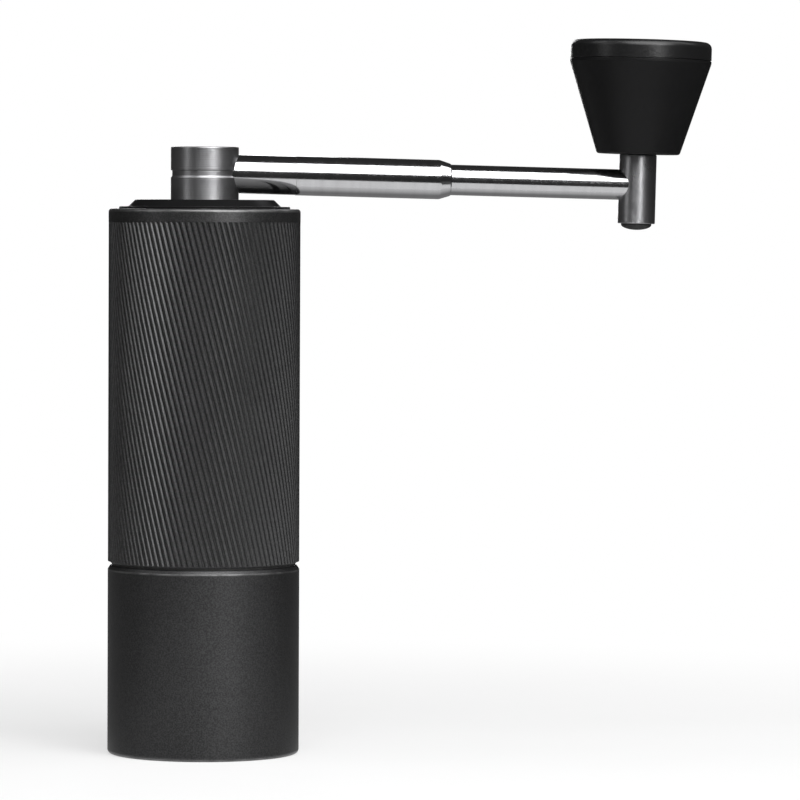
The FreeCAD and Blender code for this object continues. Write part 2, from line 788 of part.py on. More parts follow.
def make_detent_balls():
    """Steel balls of the dial's clicks."""
    ball = Part.makeSphere(number("detent_ball_diameter / 2"))
    places = round_places(number("plunger_circle / 2"), detent_ball_level(),
                          int(number("plunger_count")))
    return group("detent_balls", [ball.translated(place) for place in places])


def turn_race(ring, middle):
    """Turns the balls' round groove in a bearing ring."""
    sketch = ring.newObject("Sketcher::SketchObject", ring.Label + "_race_outline")
    sketch.AttachmentSupport = [(origin_feature(ring, "XZ_Plane"), "")]
    sketch.MapMode = "FlatFace"
    place = Vector(number("ball_circle_r"), number(middle), 0)
    reach = "ball_diameter / 2 + ball_gap"
    circle = sketch.addGeometry(Part.Circle(place, Vector(0, 0, 1), number(reach)))
    for kind, ends, expression in (
            ("DistanceX", (-1, 1, circle, 3), "ball_circle_r"),
            ("DistanceY", (-1, 1, circle, 3), middle),
            ("Radius", (circle,), reach)):
        index = sketch.addConstraint(Sketcher.Constraint(kind, *ends, number(expression)))
        sketch.setExpression("Constraints[%d]" % index, bound(expression))
    race = ring.newObject("PartDesign::Groove", ring.Label + "_race")
    race.Profile = sketch
    race.ReferenceAxis = (origin_feature(ring, "Z_Axis"), [""])
    race.Angle = 360
    ring.Tip = race
    doc.recompute()


def make_bearing(name, level):
    """A ball bearing: outer ring, inner ring, balls and cage."""
    middle = "(%s + bearing_width / 2)" % level
    top = "%s + bearing_width" % level
    outer = turned(name + "_bearing_outer_ring", ring_outline(
        "ball_circle_r + race_shoulder", "bearing_r", level, top))
    inner = turned(name + "_bearing_inner_ring", ring_outline(
        "shaft_r + seat_gap", "ball_circle_r - race_shoulder", level, top))
    for ring in (outer, inner):
        turn_race(ring, middle)
    places = round_places(number("ball_circle_r"), number(middle), int(number("ball_count")))
    ball = Part.makeSphere(number("ball_diameter / 2"))
    balls = group(name + "_bearing_balls", [ball.translated(place) for place in places])
    cage = turned(name + "_ball_cage", ring_outline(
        "ball_circle_r - cage_thickness / 2", "ball_circle_r + cage_thickness / 2",
        "%s - cage_height / 2" % middle, "%s + cage_height / 2" % middle))
    pocket = solid_feature(
        cage, "SubtractiveCylinder", name + "_cage_pocket",
        ("ball_circle_r - cage_thickness", "0", middle), turn=(Vector(0, 1, 0), "90"),
        Radius="ball_diameter / 2 + ball_gap", Height="2 * cage_thickness")
    patterned(cage, name + "_cage_pockets", pocket, "ball_count")
    return [outer, inner, balls, cage]


def make_bearing_bridge():
    """Spider high in the hopper that carries the upper bearing."""
    bridge = turned("bearing_bridge", ring_outline(
        "hopper_r - bridge_gap - bridge_rim_width", "hopper_r - bridge_gap",
        "bridge_seat", "bridge_seat + bridge_rim_height"))
    add_spokes(bridge, "bridge_arm", "bridge_seat", "bridge_rim_height",
               "(hopper_r - bridge_gap - bridge_rim_width / 2)")
    hub = solid_feature(
        bridge, "AdditiveCylinder", "upper_bearing_hub", ("0", "0", "bridge_seat"),
        Radius="bearing_hub_r", Height="bearing_sill + bearing_width + bearing_cover")
    bridge.Tip = hub
    doc.recompute()
    bore_bearing_seat(bridge, "upper_bearing_seat", "bridge_seat", "upper_bearing")
    return bridge


def cut_opening(ring, name, reach, width, bottom, height):
    """Cuts a ring open on its -X side."""
    cut = solid_feature(ring, "SubtractiveBox", name, ("-(%s)" % reach, "-%s / 2" % width, bottom),
                        Length=reach, Width=width, Height=height)
    ring.Tip = cut
    doc.recompute()


def make_bridge_snap_ring():
    """Open ring in the shell's groove that keeps the bridge on its step."""
    reach = "hopper_r + snap_groove_depth - snap_ring_gap"
    bottom = "snap_groove + snap_ring_gap"
    ring = turned("bridge_snap_ring", ring_outline(
        "%s - snap_ring_width" % reach, reach, bottom, "%s + snap_ring_thickness" % bottom))
    cut_opening(ring, "snap_ring_cut", reach, "snap_ring_opening", bottom, "snap_ring_thickness")
    return ring


def make_drive_shaft():
    """Stepped shaft: threaded tail, burr hexagon, bearing seats and crank hexagon."""
    shaft = turned("drive_shaft", [
        ("0", "shaft_bottom"),
        ("shaft_screw_r", "shaft_bottom"),
        ("shaft_screw_r", "drive_top"),
        ("shaft_r", "drive_top"),
        ("shaft_r", "lower_circlip - seat_gap"),
        ("shaft_r - circlip_depth", "lower_circlip - seat_gap"),
        ("shaft_r - circlip_depth", "lower_bearing"),
        ("shaft_r", "lower_bearing"),
        ("shaft_r", "upper_circlip"),
        ("shaft_r - circlip_depth", "upper_circlip"),
        ("shaft_r - circlip_depth", "upper_circlip + circlip_thickness + seat_gap"),
        ("shaft_r", "upper_circlip + circlip_thickness + seat_gap"),
        ("shaft_r", "hex_bottom"),
        ("shaft_screw_r", "hex_bottom"),
        ("shaft_screw_r", "shaft_top"),
        ("0", "shaft_top"),
    ])
    solid_feature(shaft, "AdditivePrism", "burr_hexagon", ("0", "0", "drive_bottom"),
                  Circumradius="hex_r", Height="drive_length")
    crank_hexagon = solid_feature(shaft, "AdditivePrism", "crank_hexagon", ("0", "0", "hex_bottom"),
                                  Circumradius="hex_r", Height="hex_length")
    shaft.Tip = crank_hexagon
    doc.recompute()
    return shaft


def make_shaft_circlips():
    """Open rings that keep the shaft between its bearings."""
    clip = turned("circlip_pattern", ring_outline(
        "shaft_r - circlip_depth + seat_gap", "shaft_r - circlip_depth + circlip_width",
        "lower_circlip", "lower_circlip + circlip_thickness - seat_gap"))
    cut_opening(clip, "circlip_cut", "bearing_r", "circlip_opening", "lower_circlip",
                "circlip_thickness")
    rise = number("upper_circlip - lower_circlip + seat_gap")
    return group("shaft_circlips", [clip.Shape.copy(), clip.Shape.translated(Vector(0, 0, rise))])


def biarc(start, start_way, end, end_way):
    """Two tangent arcs from one point and direction to another."""
    chord = end - start
    ways = start_way + end_way
    square = 2 * start_way.dot(end_way) - 2
    half = -chord.dot(ways)
    span = chord.dot(chord)
    reach = (-half - math.sqrt(half * half - square * span)) / square
    first_apex = start + start_way * reach
    second_apex = end - end_way * reach
    joint = (first_apex + second_apex) / 2
    return [tangent_arc(start, first_apex, joint), tangent_arc(joint, second_apex, end)]


def tangent_arc(start, apex, end):
    """Arc between two points whose tangents meet at an apex."""
    middle = (start + end) / 2
    half_chord = (end - start).Length / 2
    rise = (apex - middle).Length
    radius = half_chord * (apex - start).Length / rise
    sagitta = radius - math.sqrt(radius * radius - half_chord * half_chord)
    return Part.Arc(start, middle + (apex - middle) * (sagitta / rise), end).toShape()


def make_burr_spring():
    """Helical spring between the inner burr and the lower circlip, one unbroken wire."""
    wire_r = number("spring_wire / 2")
    coil_r = number("spring_diameter / 2")
    turns = number("spring_turns")
    bottom = number("spring_bottom") + wire_r
    climb = number("spring_top") - wire_r - bottom
    quarters = int(round(4 * turns))

    def coil_point(part):
        angle = 2 * math.pi * turns * part
        return Vector(coil_r * math.cos(angle), coil_r * math.sin(angle), bottom + climb * part)

    def coil_way(part):
        angle = 2 * math.pi * turns * part
        sweep = 2 * math.pi * turns * coil_r
        way = Vector(-sweep * math.sin(angle), sweep * math.cos(angle), climb)
        return way.normalize()

    edges = []
    for quarter in range(quarters):
        low = quarter / quarters
        high = (quarter + 1) / quarters
        edges += biarc(coil_point(low), coil_way(low), coil_point(high), coil_way(high))
    spine = Part.Wire(edges)
    section = Part.Wire(Part.Circle(coil_point(0), coil_way(0), wire_r).toShape())
    shell = Part.BRepOffsetAPI.MakePipeShell(spine)
    shell.add(section, False, False)
    shell.build()
    shell.makeSolid()
    spring = doc.addObject("Part::Feature", "burr_spring")
    spring.Shape = shell.shape()
    per_turn = 48
    points = [coil_point(index / (per_turn * turns)) for index in range(int(per_turn * turns) + 1)]
    gaps = [(points[first] - points[second]).Length
            for first in range(len(points))
            for second in range(first + per_turn // 2, len(points))]
    print("burr spring: least gap to itself %.2f mm" % (min(gaps) - 2 * wire_r))
    return spring


def make_lid():
    """Stepped lid with a plug ring that fits the hopper, and a hole for the hub's spigot."""
    lid = turned("lid", [
        ("spigot_diameter / 2 + spigot_gap", "lid_top - lid_plate"),
        ("spigot_diameter / 2 + spigot_gap", "lid_top"),
        ("lid_bevel_r - lid_bevel_width", "lid_top"),
        ("lid_bevel_r", "lid_flange_top"),
        ("lid_r", "lid_flange_top"),
        ("lid_r", "lid_bottom"),
        ("lid_plug_r", "lid_bottom"),
        ("lid_plug_r", "lid_bottom - lid_plug_depth"),
        ("lid_plug_r - lid_plug_wall", "lid_bottom - lid_plug_depth"),
        ("lid_plug_r - lid_plug_wall", "lid_flange_top - lid_plate"),
        ("lid_bevel_r - lid_plate", "lid_top - lid_plate"),
    ])
    dress_edges(lid, "Fillet", "lid_edges", "lid_edge", [
        ("lid_bevel_r - lid_bevel_width", "lid_top"), ("lid_r", "lid_flange_top")])
    return lid


def make_crank_hub():
    """Turned hub with a shallow groove, a hexagon socket and a blind hole for the stub."""
    hub = turned("crank_hub", [
        ("0", "socket_bottom"),
        ("spigot_diameter / 2", "socket_bottom"),
        ("spigot_diameter / 2", "hub_bottom"),
        ("hub_r", "hub_bottom"),
        ("hub_r", "arm_height - hub_groove_width / 2"),
        ("hub_r - hub_groove_depth", "arm_height - hub_groove_width / 2 + hub_groove_depth"),
        ("hub_r - hub_groove_depth", "arm_height + hub_groove_width / 2"),
        ("hub_r", "arm_height + hub_groove_width / 2"),
        ("hub_r", "hub_top"),
        ("0", "hub_top"),
    ])
    dress_edges(hub, "Chamfer", "hub_chamfers", "hub_chamfer",
                [("hub_r", "hub_bottom"), ("hub_r", "hub_top")])
    solid_feature(hub, "SubtractivePrism", "hub_socket", ("0", "0", "socket_bottom"),
                  Circumradius="hex_r + hex_clearance",
                  Height="shaft_top + socket_play - socket_bottom")
    start = "(stub_start - press_gap)"
    hole = solid_feature(
        hub, "SubtractiveCylinder", "stub_hole",
        ("%s * cos(arm_droop)" % start, "0", "arm_height - %s * sin(arm_droop)" % start),
        turn=(Vector(0, 1, 0), "90 + arm_droop"), Radius="stub_r + press_gap", Height="hub_r")
    hub.Tip = hole
    doc.recompute()
    return hub


def cross_bore(body, name, along, diameter):
    """Bores a body through along Y at a distance on its X axis."""
    bore = solid_feature(body, "SubtractiveCylinder", name, (along, "sleeve_r", "0"),
                         turn=(Vector(1, 0, 0), "90"), Radius="(%s) / 2" % diameter,
                         Height="2 * sleeve_r")
    body.Tip = bore
    doc.recompute()


def make_arm_stub():
    """Short arm fixed in the hub, with the hinge's flat tongue beyond the seam."""
    stub = turned("arm_stub", [
        ("stub_start", "0"),
        ("stub_start", "stub_r"),
        ("seam_radius", "stub_r"),
        ("seam_radius", "0"),
    ], axis="X_Axis")
    solid_feature(stub, "AdditiveBox", "tongue",
                  ("seam_radius - stub_step", "-tongue_thickness / 2", "-tongue_height / 2"),
                  Length="pivot_offset + stub_step", Width="tongue_thickness",
                  Height="tongue_height")
    end = solid_feature(stub, "AdditiveCylinder", "tongue_end",
                        ("pivot", "tongue_thickness / 2", "0"), turn=(Vector(1, 0, 0), "90"),
                        Radius="tongue_height / 2", Height="tongue_thickness")
    stub.Tip = end
    doc.recompute()
    cross_bore(stub, "tongue_bore", "pivot", "fold_pin_diameter + 2 * fold_pin_gap")
    return place_on_arm(stub, "0")


def make_fold_pin():
    """Hinge pin through the tongue and the clevis, hidden in the lock sleeve."""
    pin = doc.addObject("PartDesign::Body", "fold_pin")
    solid_feature(pin, "AdditiveCylinder", "pin_round", ("pivot", "rod_r - fold_pin_inset", "0"),
                  turn=(Vector(1, 0, 0), "90"), Radius="fold_pin_diameter / 2",
                  Height="2 * (rod_r - fold_pin_inset)")
    return place_on_arm(pin, "0")


def make_arm_rod():
    """Arm rod: a round-ended clevis over the tongue, and a shank that ends in the post."""
    groove_r = "(sleeve_bore_r - sleeve_ring_gap - sleeve_ring_wire)"
    half_groove = "(sleeve_ring_wire / 2 + sleeve_ring_gap)"
    rod = turned("arm_rod", [
        ("pivot - rod_r", "0"),
        ("pivot - rod_r", "rod_r"),
        ("sleeve_ring - %s" % half_groove, "rod_r"),
        ("sleeve_ring - %s" % half_groove, groove_r),
        ("sleeve_ring + %s" % half_groove, groove_r),
        ("sleeve_ring + %s" % half_groove, "rod_r"),
        ("crank_radius - post_r + rod_end_depth", "rod_r"),
        ("crank_radius - post_r + rod_end_depth", "0"),
    ], axis="X_Axis")
    dress_edges(rod, "Fillet", "clevis_round", "rod_r - running_gap",
                [("rod_r", "pivot - rod_r")], along="x")
    slot = solid_feature(
        rod, "SubtractiveBox", "clevis_slot",
        ("pivot - 2 * rod_r", "-tongue_thickness / 2 - tongue_gap", "-rod_r"),
        Length="2 * rod_r + tongue_height / 2 + clevis_floor",
        Width="tongue_thickness + 2 * tongue_gap", Height="2 * rod_r")
    rod.Tip = slot
    doc.recompute()
    cross_bore(rod, "clevis_bore", "pivot", "fold_pin_diameter + 2 * fold_pin_gap")
    return place_on_arm(rod, "0")


def make_sleeve_o_ring():
    """Rubber ring in the rod's groove that keeps the sleeve where it is put."""
    ring = doc.addObject("PartDesign::Body", "sleeve_o_ring")
    solid_feature(ring, "AdditiveTorus", "o_ring_round", ("sleeve_ring", "0", "0"),
                  turn=(Vector(0, 1, 0), "90"),
                  Radius1="sleeve_bore_r - sleeve_ring_gap - sleeve_ring_wire / 2",
                  Radius2="sleeve_ring_wire / 2 - sleeve_ring_gap")
    return place_on_arm(ring, "0")


def make_lock_sleeve():
    """Sleeve over the hinge, with a rounded taper at its outer end."""
    sleeve = turned("lock_sleeve", [
        ("sleeve_start", "sleeve_bore_r"),
        ("sleeve_start", "sleeve_r"),
        ("sleeve_end - sleeve_taper_length", "sleeve_r"),
        ("sleeve_end", "sleeve_bore_r + sleeve_end_wall"),
        ("sleeve_end", "sleeve_bore_r"),
    ], axis="X_Axis")
    dress_edges(sleeve, "Fillet", "sleeve_shoulder", "sleeve_round",
                [("sleeve_r", "sleeve_end - sleeve_taper_length")], along="x")
    return place_on_arm(sleeve, "0")


def make_knob_post():
    """Upright pin at the arm's end, bored for the rod, the knob's axle and the bumper."""
    post = turned("knob_post", [
        ("0", "-post_below"),
        ("post_r", "-post_below"),
        ("post_r", "post_above"),
        ("0", "post_above"),
    ])
    dress_edges(post, "Chamfer", "post_edges", "post_chamfer",
                [("post_r", "-post_below"), ("post_r", "post_above")])
    solid_feature(post, "SubtractiveCylinder", "rod_hole", ("-2 * post_r", "0", "0"),
                  turn=(Vector(0, 1, 0), "90"), Radius="rod_r + press_gap",
                  Height="post_r + rod_end_depth + press_gap")
    solid_feature(post, "SubtractiveCylinder", "axle_hole",
                  ("0", "0", "post_above - axle_thread_length - press_gap"),
                  Radius="axle_thread_diameter / 2 + press_gap", Height="post_above")
    stem_hole = solid_feature(
        post, "SubtractiveCylinder", "bumper_hole", ("0", "0", "-post_below - bumper_height"),
        Radius="bumper_stem_diameter / 2 + press_gap",
        Height="bumper_height + bumper_stem_length + press_gap")
    post.Tip = stem_hole
    doc.recompute()
    return place_on_arm(post, "crank_radius")


def make_post_bumper():
    """Rubber foot under the post, which rests on the body when the arm is folded."""
    bumper = turned("post_bumper", [
        ("0", "-post_below - bumper_height"),
        ("bumper_r", "-post_below - bumper_height"),
        ("bumper_r", "-post_below"),
        ("bumper_stem_diameter / 2", "-post_below"),
        ("bumper_stem_diameter / 2", "-post_below + bumper_stem_length"),
        ("0", "-post_below + bumper_stem_length"),
    ])
    dress_edges(bumper, "Fillet", "bumper_dome", "bumper_round",
                [("bumper_r", "-post_below - bumper_height")])
    return place_on_arm(bumper, "crank_radius")


def make_knob_axle():
    """Shoulder screw in the post that the knob turns on."""
    axle = turned("knob_axle", [
        ("0", "post_above - axle_thread_length"),
        ("axle_thread_diameter / 2", "post_above - axle_thread_length"),
        ("axle_thread_diameter / 2", "post_above"),
        ("axle_r", "post_above"),
        ("axle_r", "axle_head_bottom"),
        ("axle_head_r", "axle_head_bottom"),
        ("axle_head_r", "axle_head_top"),
        ("0", "axle_head_top"),
    ])
    key = solid_feature(axle, "SubtractivePrism", "axle_key",
                        ("0", "0", "axle_head_top - axle_head_height / 2"),
                        Circumradius="axle_r - running_gap", Height="axle_head_height")
    axle.Tip = key
    doc.recompute()
    return place_on_arm(axle, "crank_radius")


def make_knob_washer():
    """Flat washer under the axle's head."""
    washer = turned("knob_washer", ring_outline(
        "axle_r + running_gap", "axle_head_r", "washer_bottom", "washer_bottom + washer_thickness"))
    return place_on_arm(washer, "crank_radius")


def make_knob_body():
    """Conical grip, wider at its rim, with a stepped bore for the bushes and the axle's head."""
    room_r = "axle_head_r + axle_head_room"
    knob = turned("knob_body", [
        ("bush_r + press_gap", "knob_bottom"),
        ("knob_base_diameter / 2", "knob_bottom"),
        ("knob_rim_r", "rim_bottom - knob_land"),
        ("knob_rim_r", "rim_bottom"),
        ("cap_spigot_r + cap_gap", "rim_bottom"),
        ("cap_spigot_r + cap_gap", "cap_floor - cap_gap"),
        (room_r, "cap_floor - cap_gap"),
        (room_r, "bush_room_top"),
        ("bush_r + press_gap", "bush_room_top"),
    ])
    dress_edges(knob, "Fillet", "knob_base_edge", "knob_base_round",
                [("knob_base_diameter / 2", "knob_bottom")])
    return place_on_arm(knob, "crank_radius")


def make_knob_cap():
    """Slightly domed cap of the knob, with a shadow line under its rim."""
    cap = turned("knob_cap", [
        ("0", "cap_floor"),
        ("cap_spigot_r", "cap_floor"),
        ("cap_spigot_r", "rim_bottom"),
        ("knob_rim_r - cap_seam_depth", "rim_bottom"),
        ("knob_rim_r - cap_seam_depth", "rim_bottom + cap_seam"),
        ("knob_rim_r", "rim_bottom + cap_seam"),
        ("knob_rim_r", "knob_top - knob_dome"),
        ("knob_rim_r / 2", "knob_top - knob_dome / 4"),
        ("0", "knob_top"),
    ])
    dress_edges(cap, "Fillet", "knob_top_edge", "knob_top_round",
                [("knob_rim_r", "knob_top - knob_dome")])
    return place_on_arm(cap, "crank_radius")


def make_knob_bushes():
    """Plain bushes at both ends of the knob's bore."""
    first = turned("bush_pattern", ring_outline(
        "axle_r + running_gap", "bush_r", "knob_bottom + bush_inset",
        "knob_bottom + bush_inset + bush_length"))
    rise = number("bush_room_top - knob_bottom - 2 * bush_inset - bush_length")
    lower = first.Shape.copy()
    upper = first.Shape.translated(Vector(0, 0, rise))
    bushes = group("knob_bushes", [lower, upper])
    return place_on_arm(bushes, "crank_radius")


def check(objects):
    """Stops when an object of the document failed or a sub-part has no valid shape."""
    for item in doc.Objects:
        if "Invalid" in item.State or "Error" in item.State:
            raise RuntimeError("%s is %s" % (item.Label, item.State))
    for item in objects:
        if item.Shape.isNull() or not item.Shape.isValid():
            raise RuntimeError("%s has no valid shape" % item.Label)


sizes = make_sheet("Sizes", SIZES)
make_sheet("Layout", {name: "=" + bound(formula) for name, formula in LAYOUT.items()})

sub_parts = [
    make_catch_cup(),
    make_cup_seal(),
    make_body_shell(),
    make_burr_housing(),
    make_outer_burr(),
    make_outer_burr_screws(),
    make_bearing_bridge(),
    make_bridge_snap_ring(),
    *make_bearing("lower", "lower_bearing"),
    *make_bearing("upper", "upper_bearing"),
    make_drive_shaft(),
    make_shaft_circlips(),
    make_inner_burr(),
    make_burr_spring(),
    make_click_plate(),
    make_adjusting_dial(),
    make_dial_insert(),
    make_detent_plungers(),
    make_detent_balls(),
    make_lid(),
    make_crank_hub(),
    make_arm_stub(),
    make_fold_pin(),
    make_arm_rod(),
    make_sleeve_o_ring(),
    make_lock_sleeve(),
    make_knob_post(),
    make_post_bumper(),
    make_knob_axle(),
    make_knob_washer(),
    make_knob_body(),
    make_knob_cap(),
    make_knob_bushes(),
]
doc.recompute()
check(sub_parts)
os.makedirs("parts", exist_ok=True)
for sub_part in sub_parts:
    sub_part.Shape.exportStep("parts/%s.step" % sub_part.Label)
print("%d sub-parts written" % len(sub_parts))
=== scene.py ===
"""Studio picture of a hand crank coffee grinder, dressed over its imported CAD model.

Metres, +Z up, in the CAD model's own frame: the origin is the centre of the cup's base, on the
mill's axis, and the crank points along +X. The sub-assemblies give their sizes in millimetres.
"""
import logging
import math
from dataclasses import dataclass
from enum import Enum
from functools import lru_cache, reduce
from typing import Any, Optional, Sequence, Union

import bpy
import numpy as np
from mathutils import Matrix, Vector


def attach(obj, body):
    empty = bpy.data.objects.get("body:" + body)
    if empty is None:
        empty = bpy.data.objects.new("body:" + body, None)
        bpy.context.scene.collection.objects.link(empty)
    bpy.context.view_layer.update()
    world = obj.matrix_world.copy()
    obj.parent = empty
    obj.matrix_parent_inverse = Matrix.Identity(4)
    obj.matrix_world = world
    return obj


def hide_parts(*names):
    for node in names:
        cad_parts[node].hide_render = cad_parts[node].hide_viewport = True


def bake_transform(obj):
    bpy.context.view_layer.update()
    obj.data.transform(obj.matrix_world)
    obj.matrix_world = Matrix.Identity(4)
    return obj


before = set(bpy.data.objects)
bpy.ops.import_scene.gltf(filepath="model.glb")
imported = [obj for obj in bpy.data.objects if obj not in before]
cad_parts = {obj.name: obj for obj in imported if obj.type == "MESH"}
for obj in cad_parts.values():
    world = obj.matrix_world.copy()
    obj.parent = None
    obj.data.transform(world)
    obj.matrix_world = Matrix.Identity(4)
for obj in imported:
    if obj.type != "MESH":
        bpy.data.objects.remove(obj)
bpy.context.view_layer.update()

log = logging.getLogger("grinder")

MM = 0.001
Grid = np.ndarray
Span = tuple[float, float]
Triple = tuple[float, float, float]
Colour = Triple
Number = Union[float, "Signal"]
Owner = Union[bpy.types.Material, bpy.types.World]
Values = Optional[dict[Any, Any]]

WHITE = (1, 1, 1, 1)
SHOWING_RAYS = ("Is Camera Ray", "Is Glossy Ray", "Is Transmission Ray")
TURN = 2 * math.pi
TINY = 1e-12

# Roundings of turned edges, and the radius of the flat that closes a turned end, in millimetres.
SHARP = 0.05
CRISP = 0.1
EASED = 0.2
SOFT = 0.4
CENTRE = 0.4

ARM_HEIGHT = 157.4 * MM
ARM_DROOP = math.radians(1.27)
CRANK_RADIUS = 118.35 * MM
ARM = Matrix.Translation((0, 0, ARM_HEIGHT)) @ Matrix.Rotation(ARM_DROOP, 4, "Y")
ARM_LATHE = ARM @ Matrix.Rotation(math.pi / 2, 4, "Y")
POST = ARM @ Matrix.Translation((CRANK_RADIUS, 0, 0))


class Signal:
    """A node's output that takes part in Python expressions, which add Math nodes."""

    def __init__(self, shader: "Shader", socket: bpy.types.NodeSocket) -> None:
        """Wraps one output socket of a shader's nodes."""
        self.shader = shader
        self.socket = socket

    def __add__(self, other: Number) -> "Signal":
        """Sum."""
        return self.shader.math("ADD", self, other)

    __radd__ = __add__

    def __sub__(self, other: Number) -> "Signal":
        """Difference."""
        return self.shader.math("SUBTRACT", self, other)

    def __rsub__(self, other: Number) -> "Signal":
        """Difference from a number."""
        return self.shader.math("SUBTRACT", other, self)

    def __mul__(self, other: Number) -> "Signal":
        """Product."""
        return self.shader.math("MULTIPLY", self, other)

    __rmul__ = __mul__

    def over(self, other: Number) -> "Signal":
        """The larger of two values."""
        return self.shader.math("MAXIMUM", self, other)

    def swing(self, spread: float) -> "Signal":
        """A value from 0 to 1 moved about 0 and scaled to this spread."""
        return (self - 0.5) * spread

    def ramp(self, low: float, high: float) -> "Signal":
        """Smooth step from 0 at low to 1 at high."""
        return self.shader.out("ShaderNodeMapRange", "Result", {"interpolation_type": "SMOOTHSTEP"},
                               {"Value": self, "From Min": low, "From Max": high})

    def band(self, low: float, high: float, soft: float) -> "Signal":
        """A mask that is 1 between two values and fades outside them, over the width of soft."""
        return self.ramp(low - soft, low) * (1 - self.ramp(high, high + soft))


class Shader:
    """The node tree of one material, or of the world."""

    def __init__(self, owner: Owner) -> None:
        """Empties a node tree and takes it over.

        Args:
            owner: The material or world whose tree it is.
        """
        owner.use_nodes = True
        self.owner = owner
        self.tree = owner.node_tree
        self.tree.nodes.clear()

    def node(self, kind: str, settings: Values = None, inputs: Values = None) -> bpy.types.Node:
        """Adds one node.

        Args:
            kind: The node's type.
            settings: Properties, which are set first.
            inputs: Values or signals by socket name or index.

        Returns:
            The node.
        """
        made = self.tree.nodes.new(kind)
        for name, value in (settings or {}).items():
            setattr(made, name, value)
        for name, value in (inputs or {}).items():
            if isinstance(value, Signal):
                self.tree.links.new(value.socket, made.inputs[name])
            else:
                made.inputs[name].default_value = value
        return made

    def out(self, kind: str, output: Union[str, int], settings: Values = None,
            inputs: Values = None) -> Signal:
        """Adds one node and gives one of its outputs, by name or index."""
        return Signal(self, self.node(kind, settings, inputs).outputs[output])

    def math(self, operation: str, first: Number, second: Number) -> Signal:
        """One Math node on two values."""
        return self.out("ShaderNodeMath", 0, {"operation": operation}, {0: first, 1: second})

    def mix(self, factor: Number, first: Union[Colour, Signal], second: Union[Colour, Signal]) -> Signal:
        """Blends two colours in a Mix node's colour sockets: 0 gives the first and 1 the second."""
        ends = [colour if isinstance(colour, Signal) else (*colour, 1.0) for colour in (first, second)]
        return self.out("ShaderNodeMix", 2, {"data_type": "RGBA"}, {0: factor, 6: ends[0], 7: ends[1]})

    def grey(self, tone: Signal) -> Signal:
        """A grey of this tone."""
        return self.out("ShaderNodeCombineColor", 0, None, {0: tone, 1: tone, 2: tone})

    def place(self) -> Signal:
        """Position on the piece in metres."""
        return self.out("ShaderNodeTexCoord", "Object")

    def axis(self, name: str) -> Signal:
        """One coordinate of the position: X, Y or Z."""
        return self.out("ShaderNodeSeparateXYZ", name, None, {0: self.place()})

    def scaled(self, factors: Triple) -> Signal:
        """The position times a factor along each axis."""
        return self.out("ShaderNodeVectorMath", "Vector", {"operation": "MULTIPLY"},
                        {0: self.place(), 1: factors})

    def from_axis(self) -> Signal:
        """Distance from the mill's axis."""
        flat = self.scaled((1, 1, 0))
        return self.out("ShaderNodeVectorMath", "Value", {"operation": "LENGTH"}, {0: flat})

    def upward(self) -> Signal:
        """How far the surface faces up: 1 on a level top."""
        return self.out("ShaderNodeSeparateXYZ", "Z", None, {0: self.out("ShaderNodeTexCoord", "Normal")})

    def noise(self, scale: float, detail: float = 2.0, stretch: Triple = (1, 1, 1)) -> Signal:
        """Cloudy noise from 0 to 1, with a scale in waves per metre and detail in octaves."""
        return self.out("ShaderNodeTexNoise", 0, None,
                        {"Vector": self.scaled(stretch), "Scale": scale, "Detail": detail})

    def lines(self, along: Signal, per_metre: float, detail: float = 3.0) -> Signal:
        """Uneven lines from 0 to 1 that follow one value in metres only, such as tool marks."""
        return self.out("ShaderNodeTexNoise", 0, {"noise_dimensions": "1D"},
                        {"W": along, "Scale": per_metre, "Detail": detail})

    def bump(self, height: Signal, distance: float, strength: float = 1.0) -> Signal:
        """Normal of a bumpy surface, on which a height of 1 is this distance in metres."""
        return self.out("ShaderNodeBump", "Normal", None,
                        {"Height": height, "Distance": distance, "Strength": strength})

    def end(self, last: Signal) -> Owner:
        """Ends the tree in a surface or a background, and gives the tree's owner."""
        self.node("ShaderNodeOutput" + self.owner.id_type.title(), None, {0: last})
        return self.owner

    def surface(self, inputs: dict[str, Any]) -> bpy.types.Material:
        """Ends the tree in a Principled surface with these inputs."""
        return self.end(self.out("ShaderNodeBsdfPrincipled", 0, None, inputs))


def new_shader(name: str) -> Shader:
    """An empty material's shader."""
    return Shader(bpy.data.materials.new(name))


